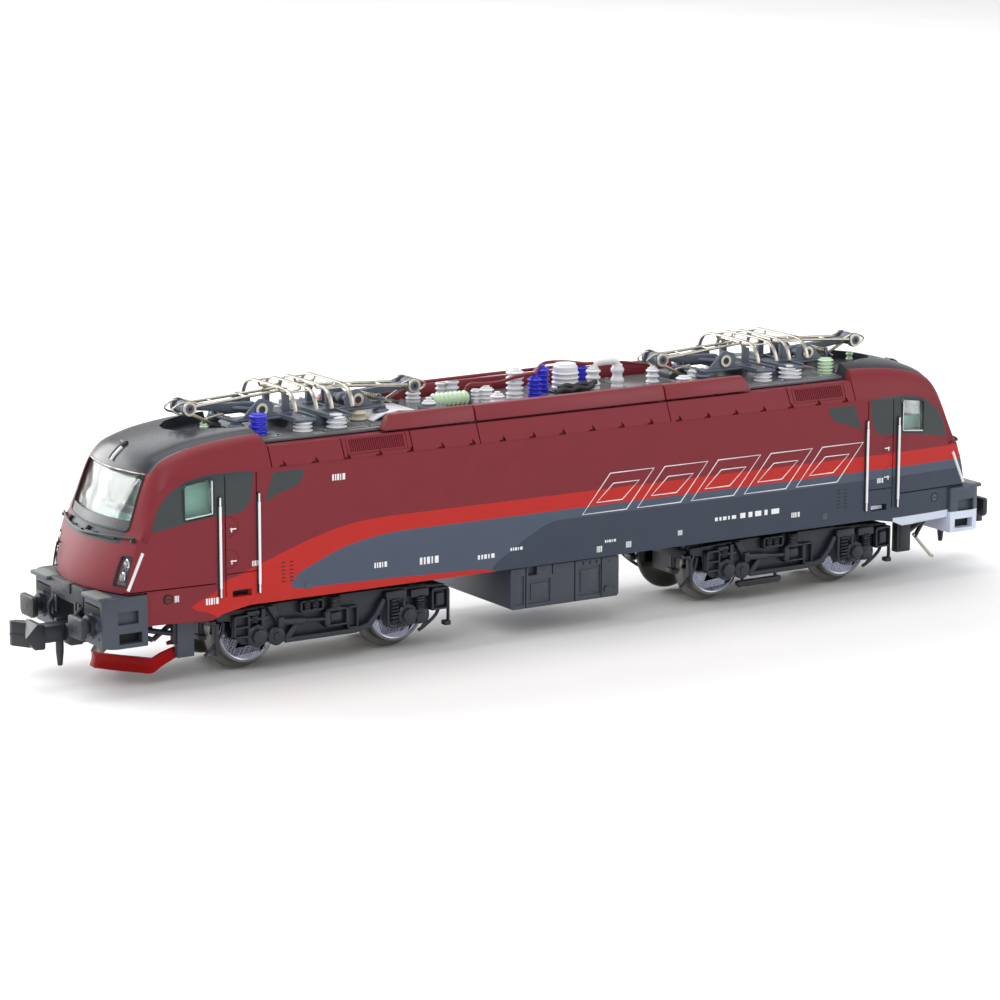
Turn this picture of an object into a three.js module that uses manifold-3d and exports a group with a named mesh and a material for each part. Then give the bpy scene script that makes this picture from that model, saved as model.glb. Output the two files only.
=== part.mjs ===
// Model electric locomotive, N gauge (1:160): a double-ended machine on two powered bogies,
// with four single-arm pantographs.
// Millimetres. +X runs along the locomotive towards cab 2, +Y is its left side, +Z is up.
// z = 0 is the bottom of the wheel flanges, and x = y = 0 is the middle of the locomotive.
import * as THREE from 'three';
import Module from 'manifold-3d';
import { mergeVertices } from 'three/addons/utils/BufferGeometryUtils.js';

const wasm = await Module();
wasm.setup();

// ---- driving dimensions ----
const HALF_WIDTH = 9.4; // body side, from the centre line
const SILL_Z = 8.3; // lower edge of the body side
const NOSE_Z = 11.0; // lower edge of the nose
const ROOF_Z = 27.2; // top of the cab roof
const SEAT_Z = 25.1; // ledge that the roof deck sits on
const DECK_Z = 25.6; // top of the roof deck
const DECK_HALF = 39.3; // half length of the roof deck recess
const TAPER_X = 42.0; // where the sides start to draw in towards the nose
const WALL = 0.95; // body shell thickness

const BOGIE_X = 31.05; // bogie pivot, from the middle
const WHEELBASE = 18.8;
const AXLE_Z = 4.5;
const TREAD_R = 3.6;
const FLANGE_R = 4.5;
const WHEEL_INNER_Y = 3.7; // back of the flange
const WHEEL_OUTER_Y = 5.7;
const FRAME_Y = 6.9; // inner face of the bogie side frame

const GEAR_TEETH = 15; // idlers and axle gears
const WORM_WHEEL_TEETH = 26;
const PITCH_R = WHEELBASE / 8; // four equal pitch radii fit between the pivot and an axle
const WORM_WHEEL_R = PITCH_R * WORM_WHEEL_TEETH / GEAR_TEETH;
const WORM_WHEEL_Z = AXLE_Z + Math.sqrt((PITCH_R + WORM_WHEEL_R) ** 2 - (2 * PITCH_R) ** 2);
const SHAFT_Z = WORM_WHEEL_Z + WORM_WHEEL_R + 1.4; // motor and worm centre line
const TOOTH_SHY = 0.15; // tooth tips stop this far inside the pitch circle
const GEAR_HALF = 0.85; // half the face width of a gear

const BUFFER_X = 61.2; // buffer face, from the middle
const BUFFER_Y = 6.0;
const BUFFER_Z = 7.5;
const BEAM_X0 = 54.4; // back of the buffer beam
const BEAM_X1 = 59.0; // front of the buffer beam
const BEAM_HALF = 9.2; // half width of the buffer beam
const BEAM_LOW = 5.3; // underside of the buffer beam
const COUPLER_PIVOT_X = 54.6;
const COUPLER_LIFT_X = 58.2;
const COUPLER_TIP_X = 65.1;

const PANTO_PIVOT_Z = 27.9;
const PANTO_OUTER_X = 36.5; // pivot of the pantographs next to the cabs
const PANTO_INNER_X = 25.2; // pivot of the two next to the middle
const LOWER_ARM = new THREE.Vector3(8.4, 0, 0.8); // pivot to elbow
const UPPER_ARM = new THREE.Vector3(-11.8, 0, 0.9); // elbow to head
const HEAD_HALF_WIDTH = 6.1;
const STRIP_RISE = 0.8; // top of the contact strips above the head pivot

// ---- solids from three.js geometry ----
function solid(geometry) {
  const bare = geometry.clone();
  bare.deleteAttribute('normal');
  bare.deleteAttribute('uv');
  const merged = mergeVertices(bare, 1e-4);
  const vertProperties = new Float32Array(merged.attributes.position.array);
  const triVerts = new Uint32Array(merged.index.array);
  return new wasm.Manifold(new wasm.Mesh({ numProp: 3, vertProperties, triVerts }));
}

function geometryOf(manifold) {
  const mesh = manifold.getMesh();
  const geometry = new THREE.BufferGeometry();
  const positions = new Float32Array(mesh.numVert * 3);
  for (let v = 0; v < mesh.numVert; v += 1) {
    for (let k = 0; k < 3; k += 1) {
      positions[3 * v + k] = mesh.vertProperties[v * mesh.numProp + k];
    }
  }
  geometry.setAttribute('position', new THREE.BufferAttribute(positions, 3));
  geometry.setIndex(new THREE.BufferAttribute(new Uint32Array(mesh.triVerts), 1));
  return geometry;
}

function join(...pieces) {
  return pieces.reduce((whole, piece) => whole.add(piece));
}

function cut(whole, ...tools) {
  return tools.reduce((rest, tool) => rest.subtract(tool), whole);
}

// A block between two corners.
function block(x0, x1, y0, y1, z0, z1) {
  const geometry = new THREE.BoxGeometry(x1 - x0, y1 - y0, z1 - z0);
  geometry.translate((x0 + x1) / 2, (y0 + y1) / 2, (z0 + z1) / 2);
  return solid(geometry);
}

// A round bar between two points, or a cone when the radii differ.
function bar(from, to, radius, sides = 12, endRadius = radius) {
  const a = new THREE.Vector3(...from);
  const b = new THREE.Vector3(...to);
  const along = b.clone().sub(a);
  const geometry = new THREE.CylinderGeometry(endRadius, radius, along.length(), sides);
  const up = new THREE.Vector3(0, 1, 0);
  const turn = new THREE.Quaternion().setFromUnitVectors(up, along.clone().normalize());
  geometry.applyQuaternion(turn);
  const middle = a.clone().add(b).multiplyScalar(0.5);
  geometry.translate(middle.x, middle.y, middle.z);
  return solid(geometry);
}

// A turned piece: profile points are [distance along the axis, radius].
function turned(profile, axis, centre, sides) {
  const points = profile.map(([along, radius]) => new THREE.Vector2(radius, along));
  const geometry = new THREE.LatheGeometry(points, sides);
  const up = new THREE.Vector3(0, 1, 0);
  const turn = new THREE.Quaternion().setFromUnitVectors(up, new THREE.Vector3(...axis));
  geometry.applyQuaternion(turn);
  geometry.translate(...centre);
  return solid(geometry);
}

// An outline in the XZ plane, given width from y0 to y1.
function sidePlate(outline, y0, y1) {
  const shape = new THREE.Shape(outline.map(([x, z]) => new THREE.Vector2(x, z)));
  const geometry = new THREE.ExtrudeGeometry(shape, { depth: y1 - y0, bevelEnabled: false });
  geometry.rotateX(Math.PI / 2);
  geometry.translate(0, y1, 0);
  return solid(geometry);
}

// An outline in the YZ plane, given length from x0 to x1.
function endPlate(outline, x0, x1) {
  const shape = new THREE.Shape(outline.map(([y, z]) => new THREE.Vector2(y, z)));
  const geometry = new THREE.ExtrudeGeometry(shape, { depth: x1 - x0, bevelEnabled: false });
  geometry.rotateX(Math.PI / 2);
  geometry.rotateZ(Math.PI / 2);
  geometry.translate(x0, 0, 0);
  return solid(geometry);
}

// An outline in the XY plane, given height from z0 to z1.
function floorPlate(outline, z0, z1) {
  const shape = new THREE.Shape(outline.map(([x, y]) => new THREE.Vector2(x, y)));
  const geometry = new THREE.ExtrudeGeometry(shape, { depth: z1 - z0, bevelEnabled: false });
  geometry.translate(0, 0, z0);
  return solid(geometry);
}

function mirroredY(manifold) {
  return manifold.mirror([0, 1, 0]);
}

// ---- materials ----
function finish(color, roughness, metalness) {
  return new THREE.MeshStandardMaterial({ color, roughness, metalness });
}

const PAINT = {
  body: finish(0x7e2633, 0.45, 0.1),
  roof: finish(0x4c5054, 0.6, 0.2),
  slate: finish(0x4a545c, 0.55, 0.1),
  black: finish(0x24282c, 0.6, 0.1),
  red: finish(0x8c1410, 0.3, 0.1),
  steel: finish(0xb8bcc4, 0.25, 1.0),
  brass: finish(0xc0963c, 0.35, 1.0),
  zinc: finish(0x84888c, 0.5, 0.8),
  silver: finish(0xb9b2a4, 0.35, 0.9),
  glass: finish(0xdde6ea, 0.05, 0.0),
  mint: finish(0xa9cfc6, 0.6, 0.0),
  green: finish(0x2c6a44, 0.5, 0.0),
  white: finish(0xe6e8ea, 0.4, 0.0),
  busbar: finish(0x7a1a20, 0.45, 0.0),
};

const locomotive = new THREE.Group();

function place(group, name, manifold, material) {
  const mesh = new THREE.Mesh(geometryOf(manifold), material);
  mesh.name = name;
  group.add(mesh);
}

// A group turned half round for the cab 1 end, where `side` is -1.
function turnedGroup(side, x = 0) {
  const group = new THREE.Group();
  group.position.x = side * x;
  group.rotation.z = side < 0 ? Math.PI : 0;
  locomotive.add(group);
  return group;
}

// ---- body envelope ----
// Nose and roof outline at the centre line, as [x, z] from the nose edge to the roof.
const FRONT = [
  [58.6, NOSE_Z], [58.0, 13.5], [57.2, 16.4], [56.5, 17.0], [55.3, 20.0],
  [53.9, 23.5], [51.8, 25.35], [49.0, 26.2], [44.5, 26.95], [40.5, ROOF_Z],
];
// Lower edge of the skirt below the cab, from the sill to the buffer beam.
const SKIRT = [[TAPER_X, SILL_Z], [48.6, 7.15], [53.8, 7.3], [54.0, NOSE_Z]];
// How far the roof falls towards the side, as [y, fall].
const CROWN = [
  [0, 0], [4.0, 0.12], [6.0, 0.42], [7.0, 0.8], [8.3, 1.8], [8.8, 2.9], [HALF_WIDTH, 4.15],
];
const SLICES = [HALF_WIDTH, 9.1, 8.8, 8.3, 7.0, 5.0, 2.5];
const CORNER_Y = 8.8; // the nose corner, outside which the side draws in
const SHOULDER_Z = 17.2; // below the windscreen, from where the roof fall grows in
const BULGE_Y = 5.4; // here the front stands 1 mm behind the centre line

function crown(y) {
  const next = Math.max(1, CROWN.findIndex(([at]) => at >= y));
  const [y0, fall0] = CROWN[next - 1];
  const [y1, fall1] = CROWN[next];
  return fall0 + (fall1 - fall0) * (y - y0) / (y1 - y0);
}

// The envelope drawn in by `inset`, as slices across the body; `skirt` false runs it on downwards.
function envelope(inset, skirt) {
  const reach = FRONT[0][0] - TAPER_X;
  const below = skirt ? SKIRT : [[58.3, SILL_Z - 3]];
  const slice = (y) => {
    const outer = Math.min(HALF_WIDTH, Math.abs(y) * HALF_WIDTH / (HALF_WIDTH - inset));
    const edge = Math.max(0, (outer - CORNER_Y) / (HALF_WIDTH - CORNER_Y));
    const bulge = (Math.min(outer, CORNER_Y) / BULGE_Y) ** 1.7;
    const squeeze = (1 - bulge / reach) * (1 - 0.68 * edge) * (1 - inset / reach);
    const drawnIn = (x) => (x > TAPER_X ? TAPER_X + (x - TAPER_X) * squeeze : x);
    const limit = drawnIn(FRONT[0][0] - 0.3);
    const low = below.map(([x, z]) => [Math.min(x, limit), z]);
    const high = FRONT.map(([x, z]) => {
      const share = Math.max(0, (z - SHOULDER_Z) / (ROOF_Z - SHOULDER_Z));
      return [drawnIn(x), z - crown(outer) * share - inset * (z > 20 ? 1 : 0)];
    });
    const half = [...low, ...high];
    const other = half.map(([x, z]) => [-x, z]).reverse();
    return [...half, ...other];
  };
  const widths = SLICES.map((y) => y * (HALF_WIDTH - inset) / HALF_WIDTH);
  const stations = [...widths.map((y) => -y), 0, ...widths.slice().reverse()];
  return loft(stations, stations.map(slice));
}

// Joins outlines in parallel XZ planes, all with the same number of points, into one closed solid.
function loft(stations, outlines) {
  const count = outlines[0].length;
  const positions = [];
  outlines.forEach((outline, i) => outline.forEach(([x, z]) => positions.push(x, stations[i], z)));
  const index = [];
  for (let i = 0; i + 1 < outlines.length; i += 1) {
    for (let k = 0; k < count; k += 1) {
      const a = i * count + k;
      const b = i * count + (k + 1) % count;
      index.push(a, b, a + count, b, b + count, a + count);
    }
  }
  const capOf = (outline) => {
    const flat = outline.map(([x, z]) => new THREE.Vector2(x, z));
    return THREE.ShapeUtils.triangulateShape(flat, []);
  };
  const last = (outlines.length - 1) * count;
  capOf(outlines[0]).forEach(([a, b, c]) => index.push(a, c, b));
  capOf(outlines.at(-1)).forEach(([a, b, c]) => index.push(last + a, last + b, last + c));
  for (let t = 0; t < index.length; t += 3) {
    [index[t + 1], index[t + 2]] = [index[t + 2], index[t + 1]];
  }
  const geometry = new THREE.BufferGeometry();
  geometry.setAttribute('position', new THREE.BufferAttribute(new Float32Array(positions), 3));
  geometry.setIndex(index);
  return solid(geometry);
}

// Both ends of a tool that is drawn for the +X end.
function bothEnds(manifold) {
  return manifold.add(manifold.rotate([0, 0, 180]));
}

// ---- body ----
const windscreenHole = (shy) => endPlate(
  [[shy - 6.8, 17.15 + shy], [6.8 - shy, 17.15 + shy], [6.5 - shy, 23.1 - shy], [shy - 6.5, 23.1 - shy]],
  52.0, 60.0,
);
const sideWindowHole = (shy) => block(46.3 + shy, 49.6 - shy, -12, 12, 18.5 + shy, 22.3 - shy);
const lampHole = (shy) => {
  const lamp = block(53.4, 60.0, 6.95 + shy, 8.45 - shy, 11.9 + shy, 14.9 - shy);
  return lamp.add(mirroredY(lamp));
};

function bodyShell() {
  const cavity = envelope(WALL, false).intersect(block(-60, 60, -12, 12, 0, 24.1));
  const recess = block(-DECK_HALF, DECK_HALF, -12, 12, SEAT_Z, 30);
  const windows = bothEnds(join(windscreenHole(0), sideWindowHole(0), lampHole(0)));
  const fairing = endPlate(
    [[7.3, SEAT_Z - 0.3], [8.4, SEAT_Z - 0.3], [7.7, 27.1], [7.0, 27.1], [7.0, 25.9]],
    -24.7, 24.7,
  );
  const shell = cut(envelope(0, true), cavity, recess, windows);
  const ledge = block(-38, 38, -6.9, 6.9, 20, 30);
  return join(cut(shell, ledge), fairing, mirroredY(fairing));
}

function roofDeck() {
  const plate = block(-DECK_HALF + 0.2, DECK_HALF - 0.2, -6.8, 6.8, SEAT_Z + 0.1, DECK_Z);
  return plate.add(block(-37.7, 37.7, -6.6, 6.6, 24.4, SEAT_Z + 0.1));
}

function cabGlazing() {
  const strip = block(46.0, 60, -12, 12, 17.0, 23.7);
  const band = cut(envelope(1.2, false), envelope(1.8, false)).intersect(strip);
  const holes = join(windscreenHole(0.25), sideWindowHole(0.25));
  const panes = cut(envelope(0.15, false), envelope(1.5, false)).intersect(holes);
  return band.add(panes);
}

function lightGuide() {
  const lenses = envelope(0.2, false).intersect(lampHole(0.25));
  return lenses.add(block(53.0, 54.2, -7.4, 7.4, 12.9, 13.9));
}

function cabInterior() {
  const floor = block(44.6, 52.4, -7.0, 7.0, 14.9, 15.5);
  const wall = block(44.2, 44.8, -7.2, 7.2, 12.2, 22.6);
  const desk = sidePlate([[50.2, 15.4], [51.4, 15.4], [52.3, 17.2], [51.9, 18.0], [50.0, 17.5]], -6.0, 6.0);
  const seat = join(block(47.2, 49.4, -1.1, 1.1, 15.4, 17.2), block(46.9, 47.6, -1.1, 1.1, 15.4, 20.0));
  return join(floor, wall, desk, seat.translate([0, 3.6, 0]), seat.translate([0, -3.6, 0]));
}

// ---- buffer beam, buffers, plough and couplers ----
function bufferBeam() {
  const beam = block(BEAM_X0, BEAM_X1, -BEAM_HALF, BEAM_HALF, BEAM_LOW, NOSE_Z - 0.15);
  const corner = floorPlate([[57.8, 9.8], [60, 9.8], [60, 8.1], [57.8, BEAM_HALF]], 4, 12);
  const mouth = block(56.0, 60, -3.9, 3.9, 4, 9.0);
  const slot = block(53, 57.0, -3.9, 3.9, 4, 8.0);
  const sides = block(55.2, 57.6, BEAM_HALF - 0.5, BEAM_HALF + 1, 6.0, 7.6);
  const steps = [-1, 1].map((side) => block(
    BEAM_X1 - 1.0, BEAM_X1 + 0.5, side * BUFFER_Y - 1.8, side * BUFFER_Y + 1.8, 10.45, 10.75,
  ));
  return join(cut(beam, corner, mirroredY(corner), mouth, slot, sides, mirroredY(sides)), ...steps);
}

function buffer(y) {
  const stem = bar([BEAM_X1 + 0.1, y, BUFFER_Z], [BUFFER_X - 1.0, y, BUFFER_Z], 0.75, 10);
  const collar = bar([BEAM_X1 + 0.1, y, BUFFER_Z], [BEAM_X1 + 0.9, y, BUFFER_Z], 1.1, 10);
  const head = [
    [y - 1.7, 6.7], [y - 1.1, 6.3], [y + 1.1, 6.3], [y + 1.7, 6.7],
    [y + 1.7, 8.5], [y + 1.4, 8.7], [y - 1.4, 8.7], [y - 1.7, 8.5],
  ];
  return join(stem, collar, endPlate(head, BUFFER_X - 1.3, BUFFER_X));
}

// Rail guard below the cab 1 beam: a shallow V with swept-back sides on two brackets.
function plough() {
  const outer = [[48.0, -6.6], [52.4, -6.2], [56.4, -0.6], [56.4, 0.6], [52.4, 6.2], [48.0, 6.6]];
  const inner = [[48.0, 6.0], [51.9, 5.6], [55.5, 0], [51.9, -5.6], [48.0, -6.0]];
  const blade = floorPlate([...outer, ...inner], 1.3, 3.4);
  const bracket = block(48.1, 50.0, 6.2, 7.2, 2.8, 9.5);
  return join(blade, bracket, mirroredY(bracket));
}

function couplerPocket() {
  const ring = bar([COUPLER_PIVOT_X, 0, 4.6], [COUPLER_PIVOT_X, 0, 6.2], 1.1, 18);
  const shank = block(COUPLER_PIVOT_X, 57.1, -1.0, 1.0, 4.6, 6.2);
  const cheeks = [-1, 1].map((side) => block(
    56.7, 59.9, side * 1.45 - 0.35, side * 1.45 + 0.35, 4.6, 6.9,
  ));
  return join(ring, shank, block(56.3, 57.1, -1.8, 1.8, 4.6, 6.9), ...cheeks);
}

function couplerHead() {
  const shank = block(COUPLER_LIFT_X - 0.7, 63.0, -0.75, 0.75, 4.8, 6.4);
  const wedge = [[62.8, 4.6], [62.8, 7.2], [63.7, 7.4], [COUPLER_TIP_X, 6.0], [64.0, 4.6]];
  const prongTip = COUPLER_TIP_X - 0.2;
  const prong = [[62.8, -0.9], [62.8, 0.2], [63.7, 0.2], [prongTip, -1.7], [prongTip, -2.3], [64.2, -2.3]];
  const pin = bar([60.1, 0, 4.9], [60.1, 0, 2.0], 0.42, 12, 0.3);
  return join(shank, sidePlate(wedge, -0.8, 2.3), floorPlate(prong, 4.4, 7.1), pin);
}

// ---- chassis, motor and electrics ----
function chassis() {
  const base = block(-50, 50, -7.8, 7.8, 9.6, 11.2);
  const rails = [-1, 1].map((side) => block(
    -43.6, 43.6, side * 6.9 - 0.7, side * 6.9 + 0.7, 11.2, 18.0,
  ));
  const weights = [-1, 1].map((end) => block(
    end * 41.6 - 2.0, end * 41.6 + 2.0, -6.4, 6.4, 11.2, 17.4,
  ));
  const towerSlots = [-1, 1].map((end) => block(
    end * BOGIE_X - 6.6, end * BOGIE_X + 6.6, -4.1, 4.1, 8, 20,
  ));
  const motorBay = block(-14.6, 14.6, -5.5, 5.5, 8, 20);
  const cardanBays = [-1, 1].map((end) => block(end * 20 - 6, end * 20 + 6, -2.4, 2.4, 12.0, 20));
  return cut(join(base, ...rails, ...weights), ...towerSlots, motorBay, ...cardanBays);
}

function motorCase() {
  const can = bar([-7.6, 0, SHAFT_Z], [7.6, 0, SHAFT_Z], 5.1, 20);
  const flats = block(-7.6, 7.6, -4.6, 4.6, 5, 25);
  return cut(can.intersect(flats), bar([-9, 0, SHAFT_Z], [9, 0, SHAFT_Z], 3.9, 20));
}

// Shaft, armature and a flywheel at each end.
function rotor() {
  const half = [
    [0, 3.5], [5.6, 3.5], [5.6, 0.75], [8.6, 0.75], [8.6, 4.2], [13.2, 4.2],
    [13.2, 0.75], [14.2, 0.75], [14.2, 0],
  ];
  const mirror = half.slice(1).reverse().map(([along, radius]) => [-along, radius]);
  return turned([...mirror, ...half.slice(1)], [1, 0, 0], [0, 0, SHAFT_Z], 16);
}

function cardanShaft() {
  return turned(
    [[14.5, 0], [14.5, 1.1], [16.2, 1.1], [16.2, 0.6], [23.0, 0.6], [23.0, 1.2], [24.4, 1.2], [24.4, 0]],
    [1, 0, 0], [0, 0, SHAFT_Z], 10,
  );
}

function circuitBoard() {
  const board = block(-38, 38, -6.5, 6.5, 19.9, 20.7);
  const chips = [-22, -9, 8, 21].map((x) => block(x - 2.6, x + 2.6, -2.2, 2.2, 20.7, 21.6));
  return join(board, ...chips);
}

function underfloorBox() {
  const box = block(-8.6, 5.9, -9.0, 9.0, 3.4, 8.2);
  const foot = block(-6.5, 4.0, -4.6, 4.6, 8.2, 9.0);
  const louvres = [-6.9, -4.0, -1.1, 1.8].map((x) => block(x, x + 2.2, -9.6, -8.7, 4.6, 7.2));
  return cut(box.add(foot), ...louvres, ...louvres.map(mirroredY));
}

// ---- roof gear ----
function ribbedInsulator(x, y, z0, z1, radius) {
  const sheds = 2;
  const step = (z1 - z0) / sheds;
  const profile = [[0, 0]];
  for (let i = 0; i < sheds; i += 1) {
    profile.push([i * step, radius * 0.62], [(i + 0.55) * step, radius]);
  }
  profile.push([z1 - z0, radius * 0.62], [z1 - z0, 0]);
  return turned(profile, [0, 0, 1], [x, y, z0], 8);
}

const BUSBAR_Z = 28.35;
const BUSBAR_POSTS = [[-11, 0.4], [-4.6, 0.4], [2.9, 3.2], [9.7, 3.2]];

function roofBusbar() {
  const posts = BUSBAR_POSTS.map(([x, y]) => ribbedInsulator(x, y, DECK_Z + 0.1, BUSBAR_Z, 0.95));
  const near = bar([-12.2, 0.4, BUSBAR_Z], [-0.6, 0.4, BUSBAR_Z], 0.3, 8);
  const far = bar([-0.6, 3.2, BUSBAR_Z], [12.4, 3.2, BUSBAR_Z], 0.3, 8);
  const cross = bar([-0.6, 0.2, BUSBAR_Z], [-0.6, 3.4, BUSBAR_Z], 0.3, 8);
  return join(near, far, cross, ...posts);
}

function circuitBreaker() {
  const foot = block(3.0, 7.4, -3.4, 0.6, DECK_Z + 0.1, DECK_Z + 0.7);
  const column = ribbedInsulator(5.3, -1.2, DECK_Z + 0.6, 28.9, 1.55);
  return join(foot, column, bar([5.3, -1.2, 28.8], [5.3, -1.2, 29.3], 1.2, 16));
}

// ---- pantograph, drawn with its elbow towards +X and its lower pivot at x = 0 ----
const elbow = [LOWER_ARM.x, 0, PANTO_PIVOT_Z + LOWER_ARM.z];
const headAt = [elbow[0] + UPPER_ARM.x, 0, elbow[2] + UPPER_ARM.z];

function pantographBase() {
  const railZ = 27.0;
  const rails = [-1, 1].map((side) => block(
    -3.6, 2.2, side * 3.4 - 0.3, side * 3.4 + 0.3, railZ, railZ + 0.5,
  ));
  const front = block(-3.6, -2.9, -5.9, 5.9, railZ, railZ + 0.5);
  const back = block(1.5, 2.2, -3.7, 3.7, railZ - 0.2, railZ + 0.2);
  const lugs = [-1, 1].map((side) => block(
    -0.7, 0.7, side * 3.4 - 0.3, side * 3.4 + 0.3, railZ + 0.5, PANTO_PIVOT_Z + 0.6,
  ));
  const feet = [[-3.25, 5.2], [-3.25, -5.2], [1.85, 3.4], [1.85, -3.4]];
  const insulators = feet.map(([x, y]) => ribbedInsulator(x, y, DECK_Z + 0.1, railZ + 0.1, 1.05));
  return join(...rails, front, back, ...lugs, ...insulators);
}

function lowerArm() {
  const pivot = bar([0, -2.7, PANTO_PIVOT_Z], [0, 2.7, PANTO_PIVOT_Z], 0.5, 8);
  const tube = bar([0, 0, PANTO_PIVOT_Z], elbow, 0.55, 8);
  const knuckle = bar([elbow[0], -0.6, elbow[2]], [elbow[0], 0.6, elbow[2]], 0.6, 10);
  return join(pivot, tube, knuckle);
}

function upperArm() {
  const tubes = [-1, 1].map((side) => bar(
    [elbow[0], side * 1.3, elbow[2]], [headAt[0], side * 1.3, headAt[2]], 0.28, 6,
  ));
  const hubs = [-1, 1].map((side) => bar(
    [elbow[0], side * 0.95, elbow[2]], [elbow[0], side * 1.7, elbow[2]], 0.85, 10,
  ));
  const apex = bar([headAt[0], -1.6, headAt[2]], [headAt[0], 1.6, headAt[2]], 0.28, 6);
  return join(...tubes, ...hubs, apex);
}

// Two contact strips with drooping horns, joined by two side pieces outside the upper arm.
function collectorHead() {
  const strip = (x) => {
    const outline = [[-HEAD_HALF_WIDTH, -1.0], [-4.6, 0.05], [4.6, 0.05], [HEAD_HALF_WIDTH, -1.0]];
    const under = [
      [HEAD_HALF_WIDTH - 0.2, -1.3], [4.5, -0.35], [-4.5, -0.35], [0.2 - HEAD_HALF_WIDTH, -1.3],
    ];
    const section = [...outline, ...under].map(([y, z]) => [y, headAt[2] + STRIP_RISE + z]);
    return endPlate(section, x - 0.25, x + 0.25);
  };
  const sides = [-1, 1].map((side) => block(
    headAt[0] - 1.4, headAt[0] + 1.4, side * 2.35 - 0.2, side * 2.35 + 0.2,
    headAt[2] - 0.2, headAt[2] + STRIP_RISE,
  ));
  return join(strip(headAt[0] - 1.3), strip(headAt[0] + 1.3), ...sides);
}

// ---- bogie, drawn about its own pivot ----
function wheelset(x) {
  const half = [
    [0, 0.65], [WHEEL_INNER_Y, 0.65], [WHEEL_INNER_Y, FLANGE_R], [WHEEL_INNER_Y + 0.35, FLANGE_R],
    [WHEEL_INNER_Y + 0.7, TREAD_R + 0.08], [WHEEL_OUTER_Y, TREAD_R - 0.05], [WHEEL_OUTER_Y, TREAD_R - 0.6],
    [WHEEL_OUTER_Y - 0.5, 0.8], [WHEEL_OUTER_Y + 0.9, 0.5], [WHEEL_OUTER_Y + 0.9, 0],
  ];
  const mirror = half.slice(1).reverse().map(([along, radius]) => [-along, radius]);
  const wheels = turned([...mirror, ...half.slice(1)], [0, 1, 0], [x, 0, AXLE_Z], 20);
  return wheels.add(gear(x, AXLE_Z, PITCH_R, GEAR_TEETH));
}

// A spur gear with its teeth cut short, so that neighbours stay clear of each other.
function gear(x, z, pitchRadius, teeth) {
  const outline = [];
  const tip = pitchRadius - TOOTH_SHY;
  for (let i = 0; i < teeth; i += 1) {
    const angle = 2 * Math.PI * i / teeth;
    [[-0.3, tip - 0.35], [0, tip], [0.3, tip - 0.35]].forEach(([lag, radius]) => {
      const a = angle + lag * 2 * Math.PI / teeth;
      outline.push([x + radius * Math.cos(a), z + radius * Math.sin(a)]);
    });
  }
  return sidePlate(outline, -GEAR_HALF, GEAR_HALF);
}

function pinnedGear(x, z, pitchRadius, teeth) {
  return gear(x, z, pitchRadius, teeth).add(bar([x, -1.3, z], [x, 1.3, z], 0.6, 12));
}

// Worm on its shaft, with the cup of the cardan joint towards the motor.
function worm() {
  const threads = 5;
  const profile = [[5.7, 0], [5.7, 0.6], [3.2, 0.6]];
  for (let i = threads; i > 0; i -= 1) {
    const at = 6.4 * i / threads - 3.2;
    profile.push([at, 0.85], [at - 0.45, 1.15]);
  }
  profile.push([-3.2, 0.6], [-4.9, 0.6], [-4.9, 1.15], [-6.1, 1.15], [-6.1, 0]);
  return turned(profile.reverse(), [1, 0, 0], [0, 0, SHAFT_Z], 10);
}

// Gear case, open below, that carries the worm above the wheels.
function gearTower() {
  const outside = join(
    block(-12.5, 12.5, -2.6, 2.6, 3.0, 7.4),
    block(-4.9, 4.9, -2.6, 2.6, 7.4, SHAFT_Z + 2.1),
  );
  const inside = join(
    block(-12.0, 12.0, -1.6, 1.6, 2, 7.0),
    block(-4.5, 4.5, -1.6, 1.6, 6, SHAFT_Z + 1.6),
  );
  const shaftHole = bar([-6, 0, SHAFT_Z], [6, 0, SHAFT_Z], 0.9, 12);
  const axleSlots = [-1, 1].map((end) => {
    const x = end * WHEELBASE / 2;
    const round = bar([x, -4, AXLE_Z], [x, 4, AXLE_Z], 0.95, 16);
    return round.add(block(x - 0.95, x + 0.95, -4, 4, 2, AXLE_Z));
  });
  return cut(outside, inside, shaftHole, ...axleSlots);
}

function bogieFrame() {
  const outline = [
    [-13.9, 7.2], [-13.9, 5.9], [-12.2, 5.6], [-11.2, 3.1], [-7.6, 3.1], [-6.4, 4.3], [-4.4, 4.3],
    [-2.6, 3.2], [2.6, 3.2], [4.4, 4.3], [6.4, 4.3], [7.6, 3.1], [11.2, 3.1], [12.2, 5.6],
    [13.9, 5.9], [13.9, 7.2], [6.0, 7.5], [2.0, 6.6], [-2.0, 6.6], [-6.0, 7.5],
  ];
  const side = sidePlate(outline.slice().reverse(), FRAME_Y, FRAME_Y + 0.9);
  const boxes = [-1, 1].map((end) => {
    const x = end * WHEELBASE / 2;
    return bar([x, FRAME_Y + 0.8, AXLE_Z], [x, FRAME_Y + 1.5, AXLE_Z], 1.3, 10);
  });
  const spring = bar([0, FRAME_Y + 0.9, 5.0], [0, FRAME_Y + 0.9, 7.9], 1.0, 10);
  const flank = join(side, ...boxes, spring);
  const beams = [-1, 1].map((end) => block(
    end * 14.55 - 0.35, end * 14.55 + 0.35, -FRAME_Y - 0.9, FRAME_Y + 0.9, 5.9, 7.2,
  ));
  const corners = [-1, 1].map((end) => {
    const corner = block(end * 14.3 - 0.6, end * 14.3 + 0.6, FRAME_Y, FRAME_Y + 0.9, 5.9, 7.2);
    return corner.add(mirroredY(corner));
  });
  return join(flank, mirroredY(flank), ...beams, ...corners);
}

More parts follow.
